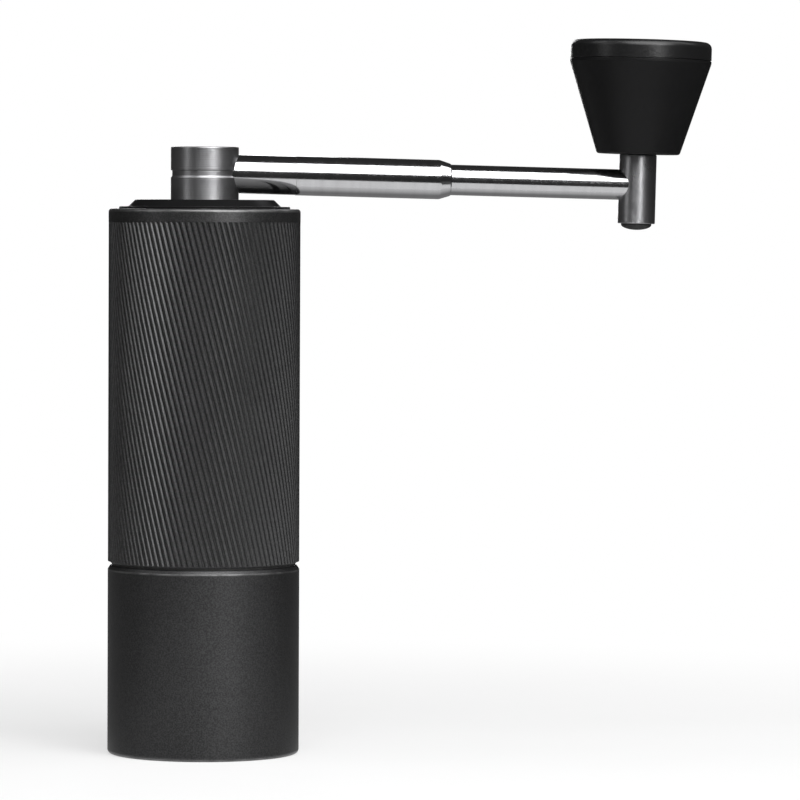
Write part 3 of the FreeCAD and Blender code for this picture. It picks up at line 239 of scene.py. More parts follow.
@dataclass(frozen=True)
class BlastedAnodised:
    """Bead-blasted aluminium, anodised charcoal, with a fine even grain and rubbed edges.

    Attributes:
        edges: Lowest and highest level of each rubbed edge.
        rub: How far an edge is rubbed, at least and at most.
    """

    name: str
    dark: Colour
    light: Colour
    edges: tuple[Span, ...]
    roughness: float = 0.46
    edge_soft: float = 0.25 * MM
    bare: Colour = (0.25, 0.25, 0.25)
    rub: Span = (0.25, 0.65)
    rub_per_metre: float = 240.0
    rub_span: Span = (0.35, 0.75)
    metallic: float = 0.9
    grain_per_metre: float = 2600.0
    grain_span: Span = (0.3, 0.72)
    grain_share: float = 0.7
    grain_depth: float = 0.05 * MM
    grain_strength: float = 0.8
    grain_spread: float = 0.12
    cloud_per_metre: float = 60.0
    cloud_spread: float = 0.06

    def make(self) -> bpy.types.Material:
        """Builds the finish.

        Returns:
            The material.
        """
        shader = new_shader(self.name)
        grain = shader.noise(self.grain_per_metre, detail=3.0)
        cloud = shader.noise(self.cloud_per_metre, detail=4.0)
        tone = grain.ramp(*self.grain_span) * self.grain_share + cloud * (1 - self.grain_share)
        height = shader.axis("Z")
        worn = reduce(Signal.over, [height.band(low, high, self.edge_soft) for low, high in self.edges])
        least, most = self.rub
        rub = shader.noise(self.rub_per_metre, detail=4.0).ramp(*self.rub_span) * (most - least) + least
        return shader.surface({
            "Base Color": shader.mix(worn * rub, shader.mix(tone, self.dark, self.light), self.bare),
            "Metallic": self.metallic,
            "Roughness": grain.swing(self.grain_spread) + cloud.swing(self.cloud_spread) + self.roughness,
            "Normal": shader.bump(grain, self.grain_depth, self.grain_strength),
        })


class ToolMarks(Enum):
    """Which way a turned piece's tool marks run."""

    ROUND_MILL_AXIS = "round the mill's axis"
    ROUND_ARM = "round the arm"


@dataclass(frozen=True)
class TurnedSteel:
    """Stainless steel with the fine rings that turning and polishing leave."""

    name: str
    colour: Colour = (0.56, 0.56, 0.57)
    shade: Colour = (0.44, 0.44, 0.45)
    roughness: float = 0.22
    spread: float = 0.08
    marks: ToolMarks = ToolMarks.ROUND_MILL_AXIS
    marks_per_metre: float = 5200.0
    mark_depth: float = 0.006 * MM
    marks_per_band: float = 12.0
    band_share: float = 0.5
    smear_per_metre: float = 90.0
    smear_share: float = 0.4

    def make(self) -> bpy.types.Material:
        """Builds the finish.

        Returns:
            The material.
        """
        shader = new_shader(self.name)
        if self.marks is ToolMarks.ROUND_ARM:
            along = shader.axis("X")
        else:
            along = shader.axis("Z") + shader.from_axis()
        rings = shader.lines(along, self.marks_per_metre)
        bands = shader.lines(along, self.marks_per_metre / self.marks_per_band, detail=2.0)
        smear = shader.noise(self.smear_per_metre, detail=5.0)
        tone = bands * self.band_share + smear * self.smear_share
        return shader.surface({
            "Base Color": shader.mix(tone, self.colour, self.shade),
            "Metallic": 1.0,
            "Roughness": bands.swing(self.spread) + smear.swing(self.spread) + self.roughness,
            "Normal": shader.bump(rings, self.mark_depth),
        })


@dataclass(frozen=True)
class MouldedPlastic:
    """Satin moulded plastic with a faint spark-eroded grain, which may be glazed on level tops.

    Attributes:
        glaze: Weight of the glaze.
        level_top: How far up a face points where the glaze starts, and where it is full.
    """

    name: str
    colour: Colour = (0.0045, 0.0045, 0.0047)
    pale: Colour = (0.010, 0.010, 0.0104)
    roughness: float = 0.32
    gloss: float = 0.3
    grain_per_metre: float = 1900.0
    grain_depth: float = 0.02 * MM
    grain_strength: float = 0.5
    grain_share: float = 0.4
    grain_spread: float = 0.06
    cloud_per_metre: float = 45.0
    cloud_share: float = 0.5
    cloud_spread: float = 0.10
    glaze: float = 0.0
    glaze_roughness: float = 0.36
    level_top: Span = (0.90, 0.98)

    def make(self) -> bpy.types.Material:
        """Builds the finish.

        Returns:
            The material.
        """
        shader = new_shader(self.name)
        grain = shader.noise(self.grain_per_metre, detail=3.0)
        cloud = shader.noise(self.cloud_per_metre, detail=4.0)
        tone = grain * self.grain_share + cloud * self.cloud_share
        return shader.surface({
            "Base Color": shader.mix(tone, self.colour, self.pale),
            "Roughness": cloud.swing(self.cloud_spread) + grain.swing(self.grain_spread) + self.roughness,
            "Specular IOR Level": self.gloss,
            "Coat Weight": shader.upward().ramp(*self.level_top) * self.glaze,
            "Coat Roughness": self.glaze_roughness,
            "Normal": shader.bump(grain, self.grain_depth, self.grain_strength),
        })


@dataclass(frozen=True)
class SoftRubber:
    """Matte black rubber with a dusty bloom."""

    name: str
    colour: Colour = (0.013, 0.013, 0.013)
    bloom: Colour = (0.035, 0.035, 0.034)
    roughness: float = 0.615
    spread: float = 0.15
    dust_per_metre: float = 700.0
    dust_span: Span = (0.4, 0.8)
    grain_per_metre: float = 2400.0
    grain_depth: float = 0.02 * MM
    grain_strength: float = 0.5

    def make(self) -> bpy.types.Material:
        """Builds the finish.

        Returns:
            The material.
        """
        shader = new_shader(self.name)
        dust = shader.noise(self.dust_per_metre, detail=5.0)
        grain = shader.noise(self.grain_per_metre)
        return shader.surface({
            "Base Color": shader.mix(dust.ramp(*self.dust_span), self.colour, self.bloom),
            "Roughness": dust.swing(self.spread) + self.roughness,
            "Normal": shader.bump(grain, self.grain_depth, self.grain_strength),
        })


@dataclass(frozen=True)
class PlainMetal:
    """Bought-in metal pieces: uneven tone and roughness with fine scratches."""

    name: str
    colour: Colour
    shade: Colour
    roughness: float
    scratch_depth: float = 0.004 * MM
    scratch_per_metre: float = 900.0
    scratch_stretch: Triple = (1, 1, 9)
    smear_per_metre: float = 320.0
    smear_span: Span = (0.3, 0.7)
    spread: float = 0.16

    def make(self) -> bpy.types.Material:
        """Builds the finish.

        Returns:
            The material.
        """
        shader = new_shader(self.name)
        smear = shader.noise(self.smear_per_metre, detail=5.0)
        scratch = shader.noise(self.scratch_per_metre, detail=3.0, stretch=self.scratch_stretch)
        return shader.surface({
            "Base Color": shader.mix(smear.ramp(*self.smear_span), self.colour, self.shade),
            "Metallic": 1.0,
            "Roughness": smear.swing(self.spread) + self.roughness,
            "Normal": shader.bump(scratch, self.scratch_depth),
        })


Finish = Union[BlastedAnodised, TurnedSteel, MouldedPlastic, SoftRubber, PlainMetal]

ANODISED_CUP = BlastedAnodised(
    "anodised_cup", (0.036, 0.036, 0.037), (0.078, 0.078, 0.079),
    edges=((0.0, 0.5 * MM), (49.9 * MM, 50.1 * MM)))
# Lighter than the cup's copy of the same anodised finish: painted light that lifts the shade in the shell's
# flutes.
ANODISED_SHELL = BlastedAnodised(
    "anodised_shell", (0.050, 0.050, 0.051), (0.110, 0.110, 0.111), roughness=0.38,
    edges=((146.9 * MM, 147.5 * MM),))
HUB_STEEL = TurnedSteel("turned_hub_steel", (0.42, 0.42, 0.43), (0.33, 0.33, 0.34), 0.34,
                        marks_per_metre=4200.0, mark_depth=0.05 * MM)
ARM_STEEL = TurnedSteel("polished_arm_steel", roughness=0.13, marks=ToolMarks.ROUND_ARM,
                        mark_depth=0.002 * MM)
POST_STEEL = TurnedSteel("turned_post_steel", (0.46, 0.46, 0.47), (0.36, 0.36, 0.37), 0.30,
                         mark_depth=0.035 * MM)
KNOB_PLASTIC = MouldedPlastic("knob_plastic", roughness=0.42, gloss=0.13)
CAP_PLASTIC = MouldedPlastic("cap_plastic", gloss=0.45, grain_depth=0.08 * MM)
LID_PLASTIC = MouldedPlastic("lid_plastic", roughness=0.42, gloss=0.05, glaze=1.0)
INNER_NYLON = MouldedPlastic("inner_nylon", (0.030, 0.030, 0.032), (0.055, 0.055, 0.057), 0.55)
RUBBER = SoftRubber("soft_rubber")
BURR_STEEL = PlainMetal("ground_burr_steel", (0.50, 0.50, 0.51), (0.36, 0.36, 0.37), 0.32)
SHAFT_STEEL = PlainMetal("drawn_steel", (0.58, 0.58, 0.59), (0.44, 0.44, 0.45), 0.26)
BALL_STEEL = PlainMetal("polished_ball_steel", (0.62, 0.62, 0.63), (0.54, 0.54, 0.55), 0.16,
                        scratch_depth=0.001 * MM)
BRASS = PlainMetal("turned_brass", (0.70, 0.52, 0.24), (0.52, 0.37, 0.15), 0.30)


@lru_cache(maxsize=None)
def material_of(finish: Finish) -> bpy.types.Material:
    """The material of a finish, built once."""
    return finish.make()


@dataclass
class PhotoCamera:
    """Camera at the photograph's place: a long lens at about the lid's height, with angles in degrees."""

    azimuth: float = -3.5
    distance: float = 1.357
    height: float = 0.1464
    pitch: float = 2.123
    aim_right: float = 2.245
    roll: float = 0.264
    lens: float = 225.0
    clip_start: float = 0.05

    def make(self) -> None:
        """Builds the camera and makes it the scene's own."""
        data = bpy.data.cameras.new("photo_camera")
        data.lens = self.lens
        data.clip_start = self.clip_start
        camera = bpy.data.objects.new("photo_camera", data)
        turn = math.radians(self.azimuth)
        place = (self.distance * math.sin(turn), -self.distance * math.cos(turn), self.height)
        aim = Matrix.Rotation(turn - math.radians(self.aim_right), 4, "Z")
        tip = Matrix.Rotation(math.radians(90 - self.pitch), 4, "X")
        lean = Matrix.Rotation(math.radians(self.roll), 4, "Z")
        camera.matrix_world = Matrix.Translation(place) @ aim @ tip @ lean
        bpy.context.scene.collection.objects.link(camera)
        bpy.context.scene.camera = camera


class Share(Enum):
    """Which pieces get a lamp's light: one alone, or all but that one."""

    ALONE = "INCLUDE"
    ALL_BUT = "EXCLUDE"


@dataclass(frozen=True)
class Softbox:
    """A rectangular lamp that faces the crank's hub.

    Attributes:
        azimuth: Degrees from the mill's front, towards the crank's side.
        elevation: Degrees above the table.
        distance: Metres from the hub.
        size: Width and height in metres.
        power: Watts.
    """

    name: str
    azimuth: float
    elevation: float
    distance: float
    size: Span
    power: float

    def make(self) -> None:
        """Builds the lamp."""
        data = bpy.data.lights.new(self.name, "AREA")
        data.shape = "RECTANGLE"
        data.size, data.size_y = self.size
        data.energy = self.power
        lamp = bpy.data.objects.new(self.name, data)
        turn = math.radians(self.azimuth)
        rise = math.radians(self.elevation)
        level = math.cos(rise)
        away = Vector((math.sin(turn) * level, -math.cos(turn) * level, math.sin(rise)))
        lamp.location = Vector((0, 0, ARM_HEIGHT)) + away * self.distance
        lamp.rotation_euler = away.to_track_quat("Z", "Y").to_euler()
        lamp.visible_camera = False
        bpy.context.scene.collection.objects.link(lamp)

    def keep(self, share: Share, piece: bpy.types.Object) -> None:
        """Keeps the lamp for one piece, or keeps it off that piece.

        Args:
            share: Whether the piece gets the light.
            piece: The piece.
        """
        group = bpy.data.collections.new(self.name)
        group.objects.link(piece)
        group.collection_objects[0].light_linking.link_state = share.value
        bpy.data.objects[self.name].light_linking.receiver_collection = group


FRONT_SOFTBOX = Softbox("front_softbox", 26, 18, 1.1, (0.24, 0.6), 3.1)
TAPER_PANEL = Softbox("taper_panel", 62, 46, 0.9, (0.62, 0.66), 5.0)
SOFTBOXES = (
    Softbox("main_softbox", 17, 47.5, 0.8, (0.9, 0.77), 10.5),
    FRONT_SOFTBOX,
    Softbox("back_softbox", 178, 8, 1.1, (0.2, 0.34), 1.4),
    Softbox("left_strip", -66, 22, 1.3, (0.3, 0.9), 1.5),
    Softbox("left_panel", -92, 47, 1.3, (0.34, 0.75), 1.8),
    Softbox("right_panel", 92, 47, 1.3, (0.34, 0.75), 1.8),
    TAPER_PANEL,
)


@dataclass(frozen=True)
class Card:
    """A card on the floor: lowest and highest x and y, brightness in front of the mill and behind it."""

    name: str
    low: Span
    high: Span
    front: float
    back: float
    level: float = 1 * MM

    def grid(self) -> Grid:
        """The card's corners."""
        (left, near), (right, far) = self.low, self.high
        return np.array([[(x, y, self.level) for x in (left, right)] for y in (near, far)])


CARDS = (
    Card("left_card", (-0.6, -0.6), (-0.15, 0.6), 0.10, 0.30),
    Card("right_card", (0.27, -0.6), (0.6, 0.6), 0.10, 0.10),
    Card("back_card", (-0.15, -0.07), (0.27, 0.6), 0.80, 0.26),
)


@dataclass
class Studio:
    """Pale floor, white surround, softboxes and the dark screens that polished steel mirrors.

    Attributes:
        white_share: The floor's share of plain white at the mill.
        fade: Distances from the axis where the floor starts to whiten, and is white.
        dome_rise: Elevation of the dome's lowest row, and the step to the next, in degrees.
        turn_depth: How far before and behind the axis a screen's tone turns.
    """

    floor_radii: Triple = (0.01, 0.2, 0.42)
    floor_segments: int = 96
    floor_tone: float = 0.80
    floor_spread: float = 0.03
    floor_clouds: float = 30.0
    white_share: float = 0.60
    fade: Span = (0.10, 0.38)
    fill: float = 0.05
    dome_radius: float = 2.6
    dome_rise: Span = (-30.0, 9.99)
    dome_rows: int = 13
    dome_segments: int = 64
    dome_tone: float = 0.035
    screen_clouds: float = 2.0
    screen_spread: float = 0.02
    turn_depth: float = 0.07

    def seen(self, shader: Shader) -> Signal:
        """1 for rays from the camera, from a mirror or through glass."""
        path = shader.node("ShaderNodeLightPath")
        return reduce(Signal.over, [Signal(shader, path.outputs[kind]) for kind in SHOWING_RAYS])

    def make_world(self) -> None:
        """White surround to look at, with a low even fill."""
        world = bpy.data.worlds.new("white_surround")
        bpy.context.scene.world = world
        shader = Shader(world)
        strength = self.seen(shader) * (1 - self.fill) + self.fill
        shader.end(shader.out("ShaderNodeBackground", 0, None, {"Color": WHITE, "Strength": strength}))

    def make_floor(self) -> None:
        """Pale round table that keeps the object's shadow and fades to white away from it."""
        shader = new_shader("pale_floor")
        tone = shader.noise(self.floor_clouds, detail=3.0).swing(self.floor_spread) + self.floor_tone
        plain = shader.out("ShaderNodeBsdfDiffuse", 0, None, {"Color": shader.grey(tone)})
        white = shader.out("ShaderNodeEmission", 0, None, {"Color": WHITE, "Strength": 1.0})
        far = shader.from_axis().ramp(*self.fade)
        share = self.seen(shader) * (far * (1 - self.white_share) + self.white_share)
        shader.end(shader.out("ShaderNodeMixShader", 0, None, {0: share, 1: plain, 2: white}))
        disc = spin_profile([(radius, 0.0) for radius in self.floor_radii], self.floor_segments)
        floor = Skin("studio_floor", [Patch(disc[::-1])]).make(shader.owner)

    def screen(self, name: str, patch: "Patch", front: float, back: float) -> None:
        """Builds a screen that is seen in mirrors only.

        Args:
            name: The screen's name.
            patch: Its shape.
            front: Brightness in front of the mill.
            back: Brightness behind it.
        """
        shader = new_shader(name)
        behind = shader.axis("Y").ramp(-self.turn_depth, self.turn_depth)
        cloud = shader.noise(self.screen_clouds).swing(self.screen_spread)
        tone = behind * (back - front) + cloud + front
        shader.end(shader.out("ShaderNodeEmission", 0, None, {"Color": shader.grey(tone), "Strength": 1.0}))
        screen = Skin(name, [patch]).make(shader.owner)
        screen.visible_camera = False
        screen.visible_diffuse = False
        screen.visible_shadow = False

    def make_screens(self) -> None:
        """Dark dome of screens round the table, and cards on it."""
        lowest, step = self.dome_rise
        rises = [math.radians(lowest + step * row) for row in range(self.dome_rows)]
        arc = [(self.dome_radius * math.cos(rise), self.dome_radius * math.sin(rise)) for rise in rises]
        dome = Patch(spin_profile(arc, self.dome_segments))
        self.screen("dark_screens", dome, self.dome_tone, self.dome_tone)
        for card in CARDS:
            self.screen(card.name, Patch(card.grid(), wrap=False), card.front, card.back)

    def make(self) -> None:
        """Builds the whole studio."""
        self.make_world()
        self.make_floor()
        self.make_screens()
        for softbox in SOFTBOXES:
            softbox.make()
        bpy.context.scene.view_settings.view_transform = "Standard"


def rounded(corners: Sequence[tuple[float, ...]], steps: int = 5) -> list[Span]:
    """Rounds the corners of an open outline.

    Args:
        corners: Radius and height of each corner in millimetres, with its rounding if it has one.
        steps: Segments of each arc.

    Returns:
        The outline's points in metres.
    """
    points: list[Span] = []
    for index, corner in enumerate(corners):
        here = np.array(corner[:2])
        size = corner[2] if len(corner) > 2 else 0.0
        if size <= 0 or index in (0, len(corners) - 1):
            points.append(tuple(here * MM))
            continue
        before = np.array(corners[index - 1][:2]) - here
        after = np.array(corners[index + 1][:2]) - here
        before = before / np.linalg.norm(before)
        after = after / np.linalg.norm(after)
        half = math.acos(float(np.clip(before @ after, -1, 1))) / 2
        middle = here + (before + after) / np.linalg.norm(before + after) * size / math.sin(half)
        start = here + before * size / math.tan(half) - middle
        end = here + after * size / math.tan(half) - middle
        first = math.atan2(start[1], start[0])
        sweep = math.atan2(end[1], end[0]) - first
        sweep = (sweep + math.pi) % TURN - math.pi
        for step in range(steps + 1):
            angle = first + sweep * step / steps
            point = middle + size * np.array([math.cos(angle), math.sin(angle)])
            points.append(tuple(point * MM))
    return points


def steps_round(count: int) -> Grid:
    """Angles of equal steps round a circle."""
    return np.arange(count) * (TURN / count)


def about_axis(radius: Any, angles: Grid, level: Any) -> Grid:
    """Points round the Z axis, in the unit of radius and level."""
    across = [radius * np.cos(angles), radius * np.sin(angles)]
    return np.stack(np.broadcast_arrays(*across, level), axis=-1)


def spin_profile(outline: Sequence[Span], segments: int) -> Grid:
    """Turns an outline about the Z axis.

    Args:
        outline: Radius and height of each point in metres; the solid is on the left of its way.
        segments: Steps round the axis.

    Returns:
        Points in rows along the outline and columns round the axis.
    """
    radius, height = np.array(outline).T[:, :, None]
    return about_axis(radius, steps_round(segments), height)


@dataclass
class Patch:
    """One grid of points of a skin.

    Attributes:
        grid: Points in rows and columns; rows up and columns to the right face outwards.
        wrap: Whether the last column joins the first.
        cap_start: Whether a flat face closes the first row.
        cap_end: Whether a flat face closes the last row.
    """

    grid: Grid
    wrap: bool = True
    cap_start: bool = False
    cap_end: bool = False

    def normals(self) -> Grid:
        """Works out how the points face, from the rows and columns beside each.

        Returns:
            Unit normals, in the grid's rows and columns.
        """
        grid = self.grid
        if self.wrap:
            along = np.roll(grid, -1, axis=1) - np.roll(grid, 1, axis=1)
        else:
            along = np.gradient(grid, axis=1)
        up = np.empty_like(grid)
        up[1:-1] = grid[2:] - grid[:-2]
        up[0] = grid[1] - grid[0]
        up[-1] = grid[-1] - grid[-2]
        normal = np.cross(along, up)
        return normal / np.maximum(np.linalg.norm(normal, axis=2, keepdims=True), TINY)

    def faces(self, first: int) -> list[list[int]]:
        """Faces between the points.

        Args:
            first: Number of the patch's first point in its mesh.

        Returns:
            The faces as point numbers.
        """
        rows, columns = self.grid.shape[:2]
        numbers = first + np.arange(rows * columns).reshape(rows, columns)
        round_on = np.hstack([numbers, numbers[:, :1]]) if self.wrap else numbers
        low, high = round_on[:-1], round_on[1:]
        quads = np.stack([low[:, :-1], low[:, 1:], high[:, 1:], high[:, :-1]], axis=2)
        faces = quads.reshape(-1, 4).tolist()
        if self.cap_start:
            faces.append(numbers[0, ::-1].tolist())
        if self.cap_end:
            faces.append(numbers[-1].tolist())
        return faces


@dataclass
class Skin:
    """A mesh made of patches, shaded with their own normals."""

    name: str
    patches: Sequence[Patch]

    def make(self, material: bpy.types.Material, place: Optional[Matrix] = None) -> bpy.types.Object:
        """Builds the mesh.

        Args:
            material: The mesh's finish.
            place: Where the patches' own frame stands.

        Returns:
            The object.
        """
        points: list[Sequence[float]] = []
        normals: list[Sequence[float]] = []
        faces: list[list[int]] = []
        for patch in self.patches:
            faces += patch.faces(len(points))
            points += patch.grid.reshape(-1, 3).tolist()
            normals += patch.normals().reshape(-1, 3).tolist()
        if place is not None:
            turn = place.to_3x3()
            points = [tuple(place @ Vector(point)) for point in points]
            normals = [tuple(turn @ Vector(normal)) for normal in normals]
        mesh = bpy.data.meshes.new(self.name)
        mesh.from_pydata(points, [], faces)
        mesh.materials.append(material)
        mesh.shade_smooth()
        mesh.normals_split_custom_set_from_vertices(normals)
        made = bpy.data.objects.new(self.name, mesh)
        bpy.context.scene.collection.objects.link(made)
        return made


def lathe(corners: Sequence[tuple[float, ...]], segments: int = 160, steps: int = 5,
          cap_start: bool = False, cap_end: bool = False) -> Patch:
    """A turned patch, from corners as rounded() takes them, with steps to each rounding."""
    return Patch(spin_profile(rounded(corners, steps), segments), True, cap_start, cap_end)


class SubAssembly:
    """What the sub-assemblies share: dressing CAD nodes and fitting pieces in place of them."""

    def dress(self, finish: Finish, *nodes: str) -> None:
        """Gives CAD nodes a finish.

        Args:
            finish: The finish.
            nodes: The nodes' names.
        """
        for name in nodes:
            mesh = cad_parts[name].data
            mesh.materials.clear()
            mesh.materials.append(material_of(finish))
            log.info("%s is dressed in %s", name, finish.name)

    def stand_in(self, piece: bpy.types.Object, finish: Finish, slot: str, node: str) -> None:
        """Lets a piece stand for a CAD node and reports it.

        Args:
            piece: The piece.
            finish: Its finish, which the node gets as well.
            slot: The record's material slot; not used.
            node: The CAD node.
        """
        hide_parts(node)
        self.dress(finish, node)
        log.info("%s stands for %s", piece.name, node)

    def fit(self, skin: Skin, finish: Finish, body: str, slot: str, node: str,
            place: Optional[Matrix] = None) -> bpy.types.Object:
        """Builds a piece that rides on a body in place of a CAD node.

        Args:
            skin: The piece's patches.
            finish: Its finish.
            body: CAD body that carries it.
            slot: The record's material slot, passed on to stand_in(), which does not use it.
            node: The CAD node that it stands for.
            place: Where the patches' own frame stands.

        Returns:
            The piece.
        """
        piece = skin.make(material_of(finish), place)
        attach(piece, body)
        self.stand_in(piece, finish, slot, node)
        return piece


@dataclass
class CatchCup(SubAssembly):
    """Smooth cup that catches the ground coffee."""

    radius: float = 26.0
    height: float = 51.1
    floor: float = 3.0
    floor_round: float = 1.0
    inner_radius: float = 23.0
    mouth_radius: float = 24.25
    mouth_depth: float = 7.05
    mouth_slope: float = 0.8
    base_round: float = 1.1
    chamfer: Span = (0.66, 1.05)
    edge: float = 0.14
    thread_sink: float = 0.1
    thread_tip: float = 23.45
    thread_start: float = 2.55
    thread_pitch: float = 3.0
    thread_turns: float = 1.2
    thread_widths: Span = (1.2, 0.8)
    thread_steps: int = 72

    def thread(self) -> Patch:
        """Shapes the inside thread, a right-hand screw ridge.

        Returns:
            The ridge.
        """
        root = self.mouth_radius + self.thread_sink
        start = self.height - self.mouth_depth + self.thread_start
        wide, narrow = self.thread_widths
        angles = np.linspace(0, TURN * self.thread_turns, int(self.thread_steps * self.thread_turns))
        section = [(root, wide / 2), (self.thread_tip, narrow / 2),
                   (self.thread_tip, -narrow / 2), (root, -wide / 2)]
        rows = [about_axis(radius, angles, start + rise + self.thread_pitch * angles / TURN) * MM
                for radius, rise in section]
        return Patch(np.stack(rows), wrap=False)

    def build(self) -> None:
        """Builds the cup's wall with its inside thread."""
        across, down = self.chamfer
        ledge = self.height - self.mouth_depth
        wall = lathe([
            (CENTRE, 0.0), (self.radius, 0.0, self.base_round),
            (self.radius, self.height - down, self.edge),
            (self.radius - across, self.height, self.edge),
            (self.mouth_radius, self.height, self.edge),
            (self.mouth_radius, ledge, self.edge),
            (self.inner_radius, ledge - self.mouth_slope, SOFT),
            (self.inner_radius, self.floor, self.floor_round), (CENTRE, self.floor),
        ], segments=208, steps=6, cap_start=True, cap_end=True)
        skin = Skin("cup_wall", [wall, self.thread()])
        self.fit(skin, ANODISED_CUP, "catch_cup", "black_anodised", "catch_cup")
        self.dress(RUBBER, "cup_seal")


@dataclass
class MillBody(SubAssembly):
    """Fluted tube with a plain band at its top."""

    radius: float = 26.0
    bottom: float = 51.8
    top: float = 147.75
    band_bottom: float = 144.15
    flute_bottom: float = 52.25
    flute_datum: float = 52.7
    flute_radius: float = 25.97
    flute_depth: float = 0.44
    flute_half_width: float = 0.52
    flute_count: int = 104
    flute_lead: float = 610.0
    points_per_flute: int = 12
    flute_rows: int = 44
    foot_radius: float = 25.5
    sole_radius: float = 25.2
    sole_round: float = 0.15
    rim_round: float = 0.9
    seat_radius: float = 23.3
    seat: float = 145.75
    seat_round: float = 0.08
    bore_radius: float = 21.5
    bore_round: float = 0.15
    snap_groove: Span = (121.35, 122.55)
    snap_radius: float = 22.2
    bridge_seat: float = 117.35
    hopper_radius: float = 21.0
    housing_top: float = 66.3
    housing_radius: float = 23.0

    def flute_grid(self) -> Grid:
        """Lays out the fluted zone, with soft ridges between round grooves.

        Returns:
            Points in rows up the tube and columns round it.
        """
        columns = self.flute_count * self.points_per_flute
        angles = steps_round(columns)
        pitch = TURN / self.flute_count
        beside = (angles + pitch / 2) % pitch - pitch / 2
        share = np.clip(np.abs(beside) * self.flute_radius / self.flute_half_width, 0, 1)
        radius = self.flute_radius - self.flute_depth * (1 + np.cos(math.pi * share)) / 2
        rows = []
        for level in np.linspace(self.flute_bottom, self.band_bottom, self.flute_rows):
            turned = angles - TURN * (level - self.flute_datum) / self.flute_lead
            rows.append(about_axis(radius, turned, level) * MM)
        return np.stack(rows)

    def end_ring(self, contour: Grid, radius: float) -> Grid:
        """Flat ring of two rows, from one row of the flutes to a circle of this radius."""
        growth = (radius * MM / np.linalg.norm(contour[:, :2], axis=1))[:, None]
        return np.stack([contour, np.hstack([contour[:, :2] * growth, contour[:, 2:]])])

    def build(self) -> None:
        """Builds the shell: flutes, their ends, the band with its rim, the bore and the foot."""
        flutes = self.flute_grid()
        snap_bottom, snap_top = self.snap_groove
        band = lathe([
            (self.radius, self.band_bottom), (self.radius, self.top, self.rim_round),
            (self.seat_radius, self.top, EASED), (self.seat_radius, self.seat, self.seat_round),
            (self.bore_radius, self.seat, self.bore_round), (self.bore_radius, snap_top, SHARP),
            (self.snap_radius, snap_top, SHARP), (self.snap_radius, snap_bottom, SHARP),
            (self.bore_radius, snap_bottom, SHARP), (self.bore_radius, self.bridge_seat, SHARP),
            (self.hopper_radius, self.bridge_seat, SHARP), (self.hopper_radius, self.housing_top, SHARP),
            (self.housing_radius, self.housing_top, SHARP), (self.housing_radius, self.bottom, CRISP),
            (self.sole_radius, self.bottom, self.sole_round), (self.foot_radius, self.flute_bottom),
        ], segments=208)
        skin = Skin("fluted_shell", [
            Patch(flutes), Patch(self.end_ring(flutes[-1], self.radius)),
            Patch(self.end_ring(flutes[0], self.foot_radius)[::-1]), band])
        self.fit(skin, ANODISED_SHELL, "mill_body", "black_anodised", "body_shell")
        self.dress(INNER_NYLON, "burr_housing", "bearing_bridge")
        self.dress(BURR_STEEL, "outer_burr")
        self.dress(SHAFT_STEEL, "outer_burr_screws", "bridge_snap_ring")


class Bearings(SubAssembly):
    """The shaft's two ball bearings."""

    def build(self) -> None:
        """Dresses rings, cages and balls."""
        for level in ("lower", "upper"):
            self.dress(SHAFT_STEEL, level + "_bearing_outer_ring", level + "_bearing_inner_ring")
            self.dress(BALL_STEEL, level + "_bearing_balls")
            self.dress(BRASS, level + "_ball_cage")


@dataclass
class GrindingRotor(SubAssembly):
    """Drive shaft with the inner burr and the spring that presses on it."""

    spring_bottom: float = 61.51
    spring_top: float = 69.15
    spring_radius: float = 5.3
    wire_radius: float = 0.55
    turns: float = 3.5
    steps_per_turn: int = 64
    wire_sides: int = 20

    def spring_grid(self) -> Grid:
        """Lays out the spring's wire.

        Returns:
            Points in rows along the coil and columns round the wire.
        """
        low = self.spring_bottom + self.wire_radius
        climb = self.spring_top - self.wire_radius - low
        sweep = TURN * self.turns * self.spring_radius
        sides = steps_round(self.wire_sides)
        rows = []
        for share in np.linspace(0, 1, int(self.turns * self.steps_per_turn) + 1):
            turn = TURN * self.turns * share
            out = np.array((math.cos(turn), math.sin(turn), 0.0))
            middle = out * self.spring_radius + np.array((0.0, 0.0, low + climb * share))
            way = np.array((-sweep * math.sin(turn), sweep * math.cos(turn), climb))
            over = np.cross(way / np.linalg.norm(way), out)
            ring = np.outer(np.cos(sides), out) + np.outer(np.sin(sides), over)
            rows.append((middle + ring * self.wire_radius) * MM)
        return np.stack(rows)

    def build(self) -> None:
        """Builds the spring at one length, though the real one shortens as the burr rises, and dresses the
        rest.
        """
        wire = Patch(self.spring_grid(), cap_start=True, cap_end=True)
        spring = Skin("burr_coil", [wire]).make(material_of(SHAFT_STEEL))
        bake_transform(spring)
        self.stand_in(spring, SHAFT_STEEL, "plain_steel", "burr_spring")
        self.dress(SHAFT_STEEL, "drive_shaft", "shaft_circlips")
        self.dress(BURR_STEEL, "inner_burr", "click_plate")


class AdjustingDial(SubAssembly):
    """Grind setting dial with its threaded insert and click detents."""

    def build(self) -> None:
        """Dresses the dial's pieces."""
        self.dress(INNER_NYLON, "adjusting_dial")
        self.dress(BRASS, "dial_insert")
        self.dress(SHAFT_STEEL, "detent_plungers")
        self.dress(BALL_STEEL, "detent_balls")


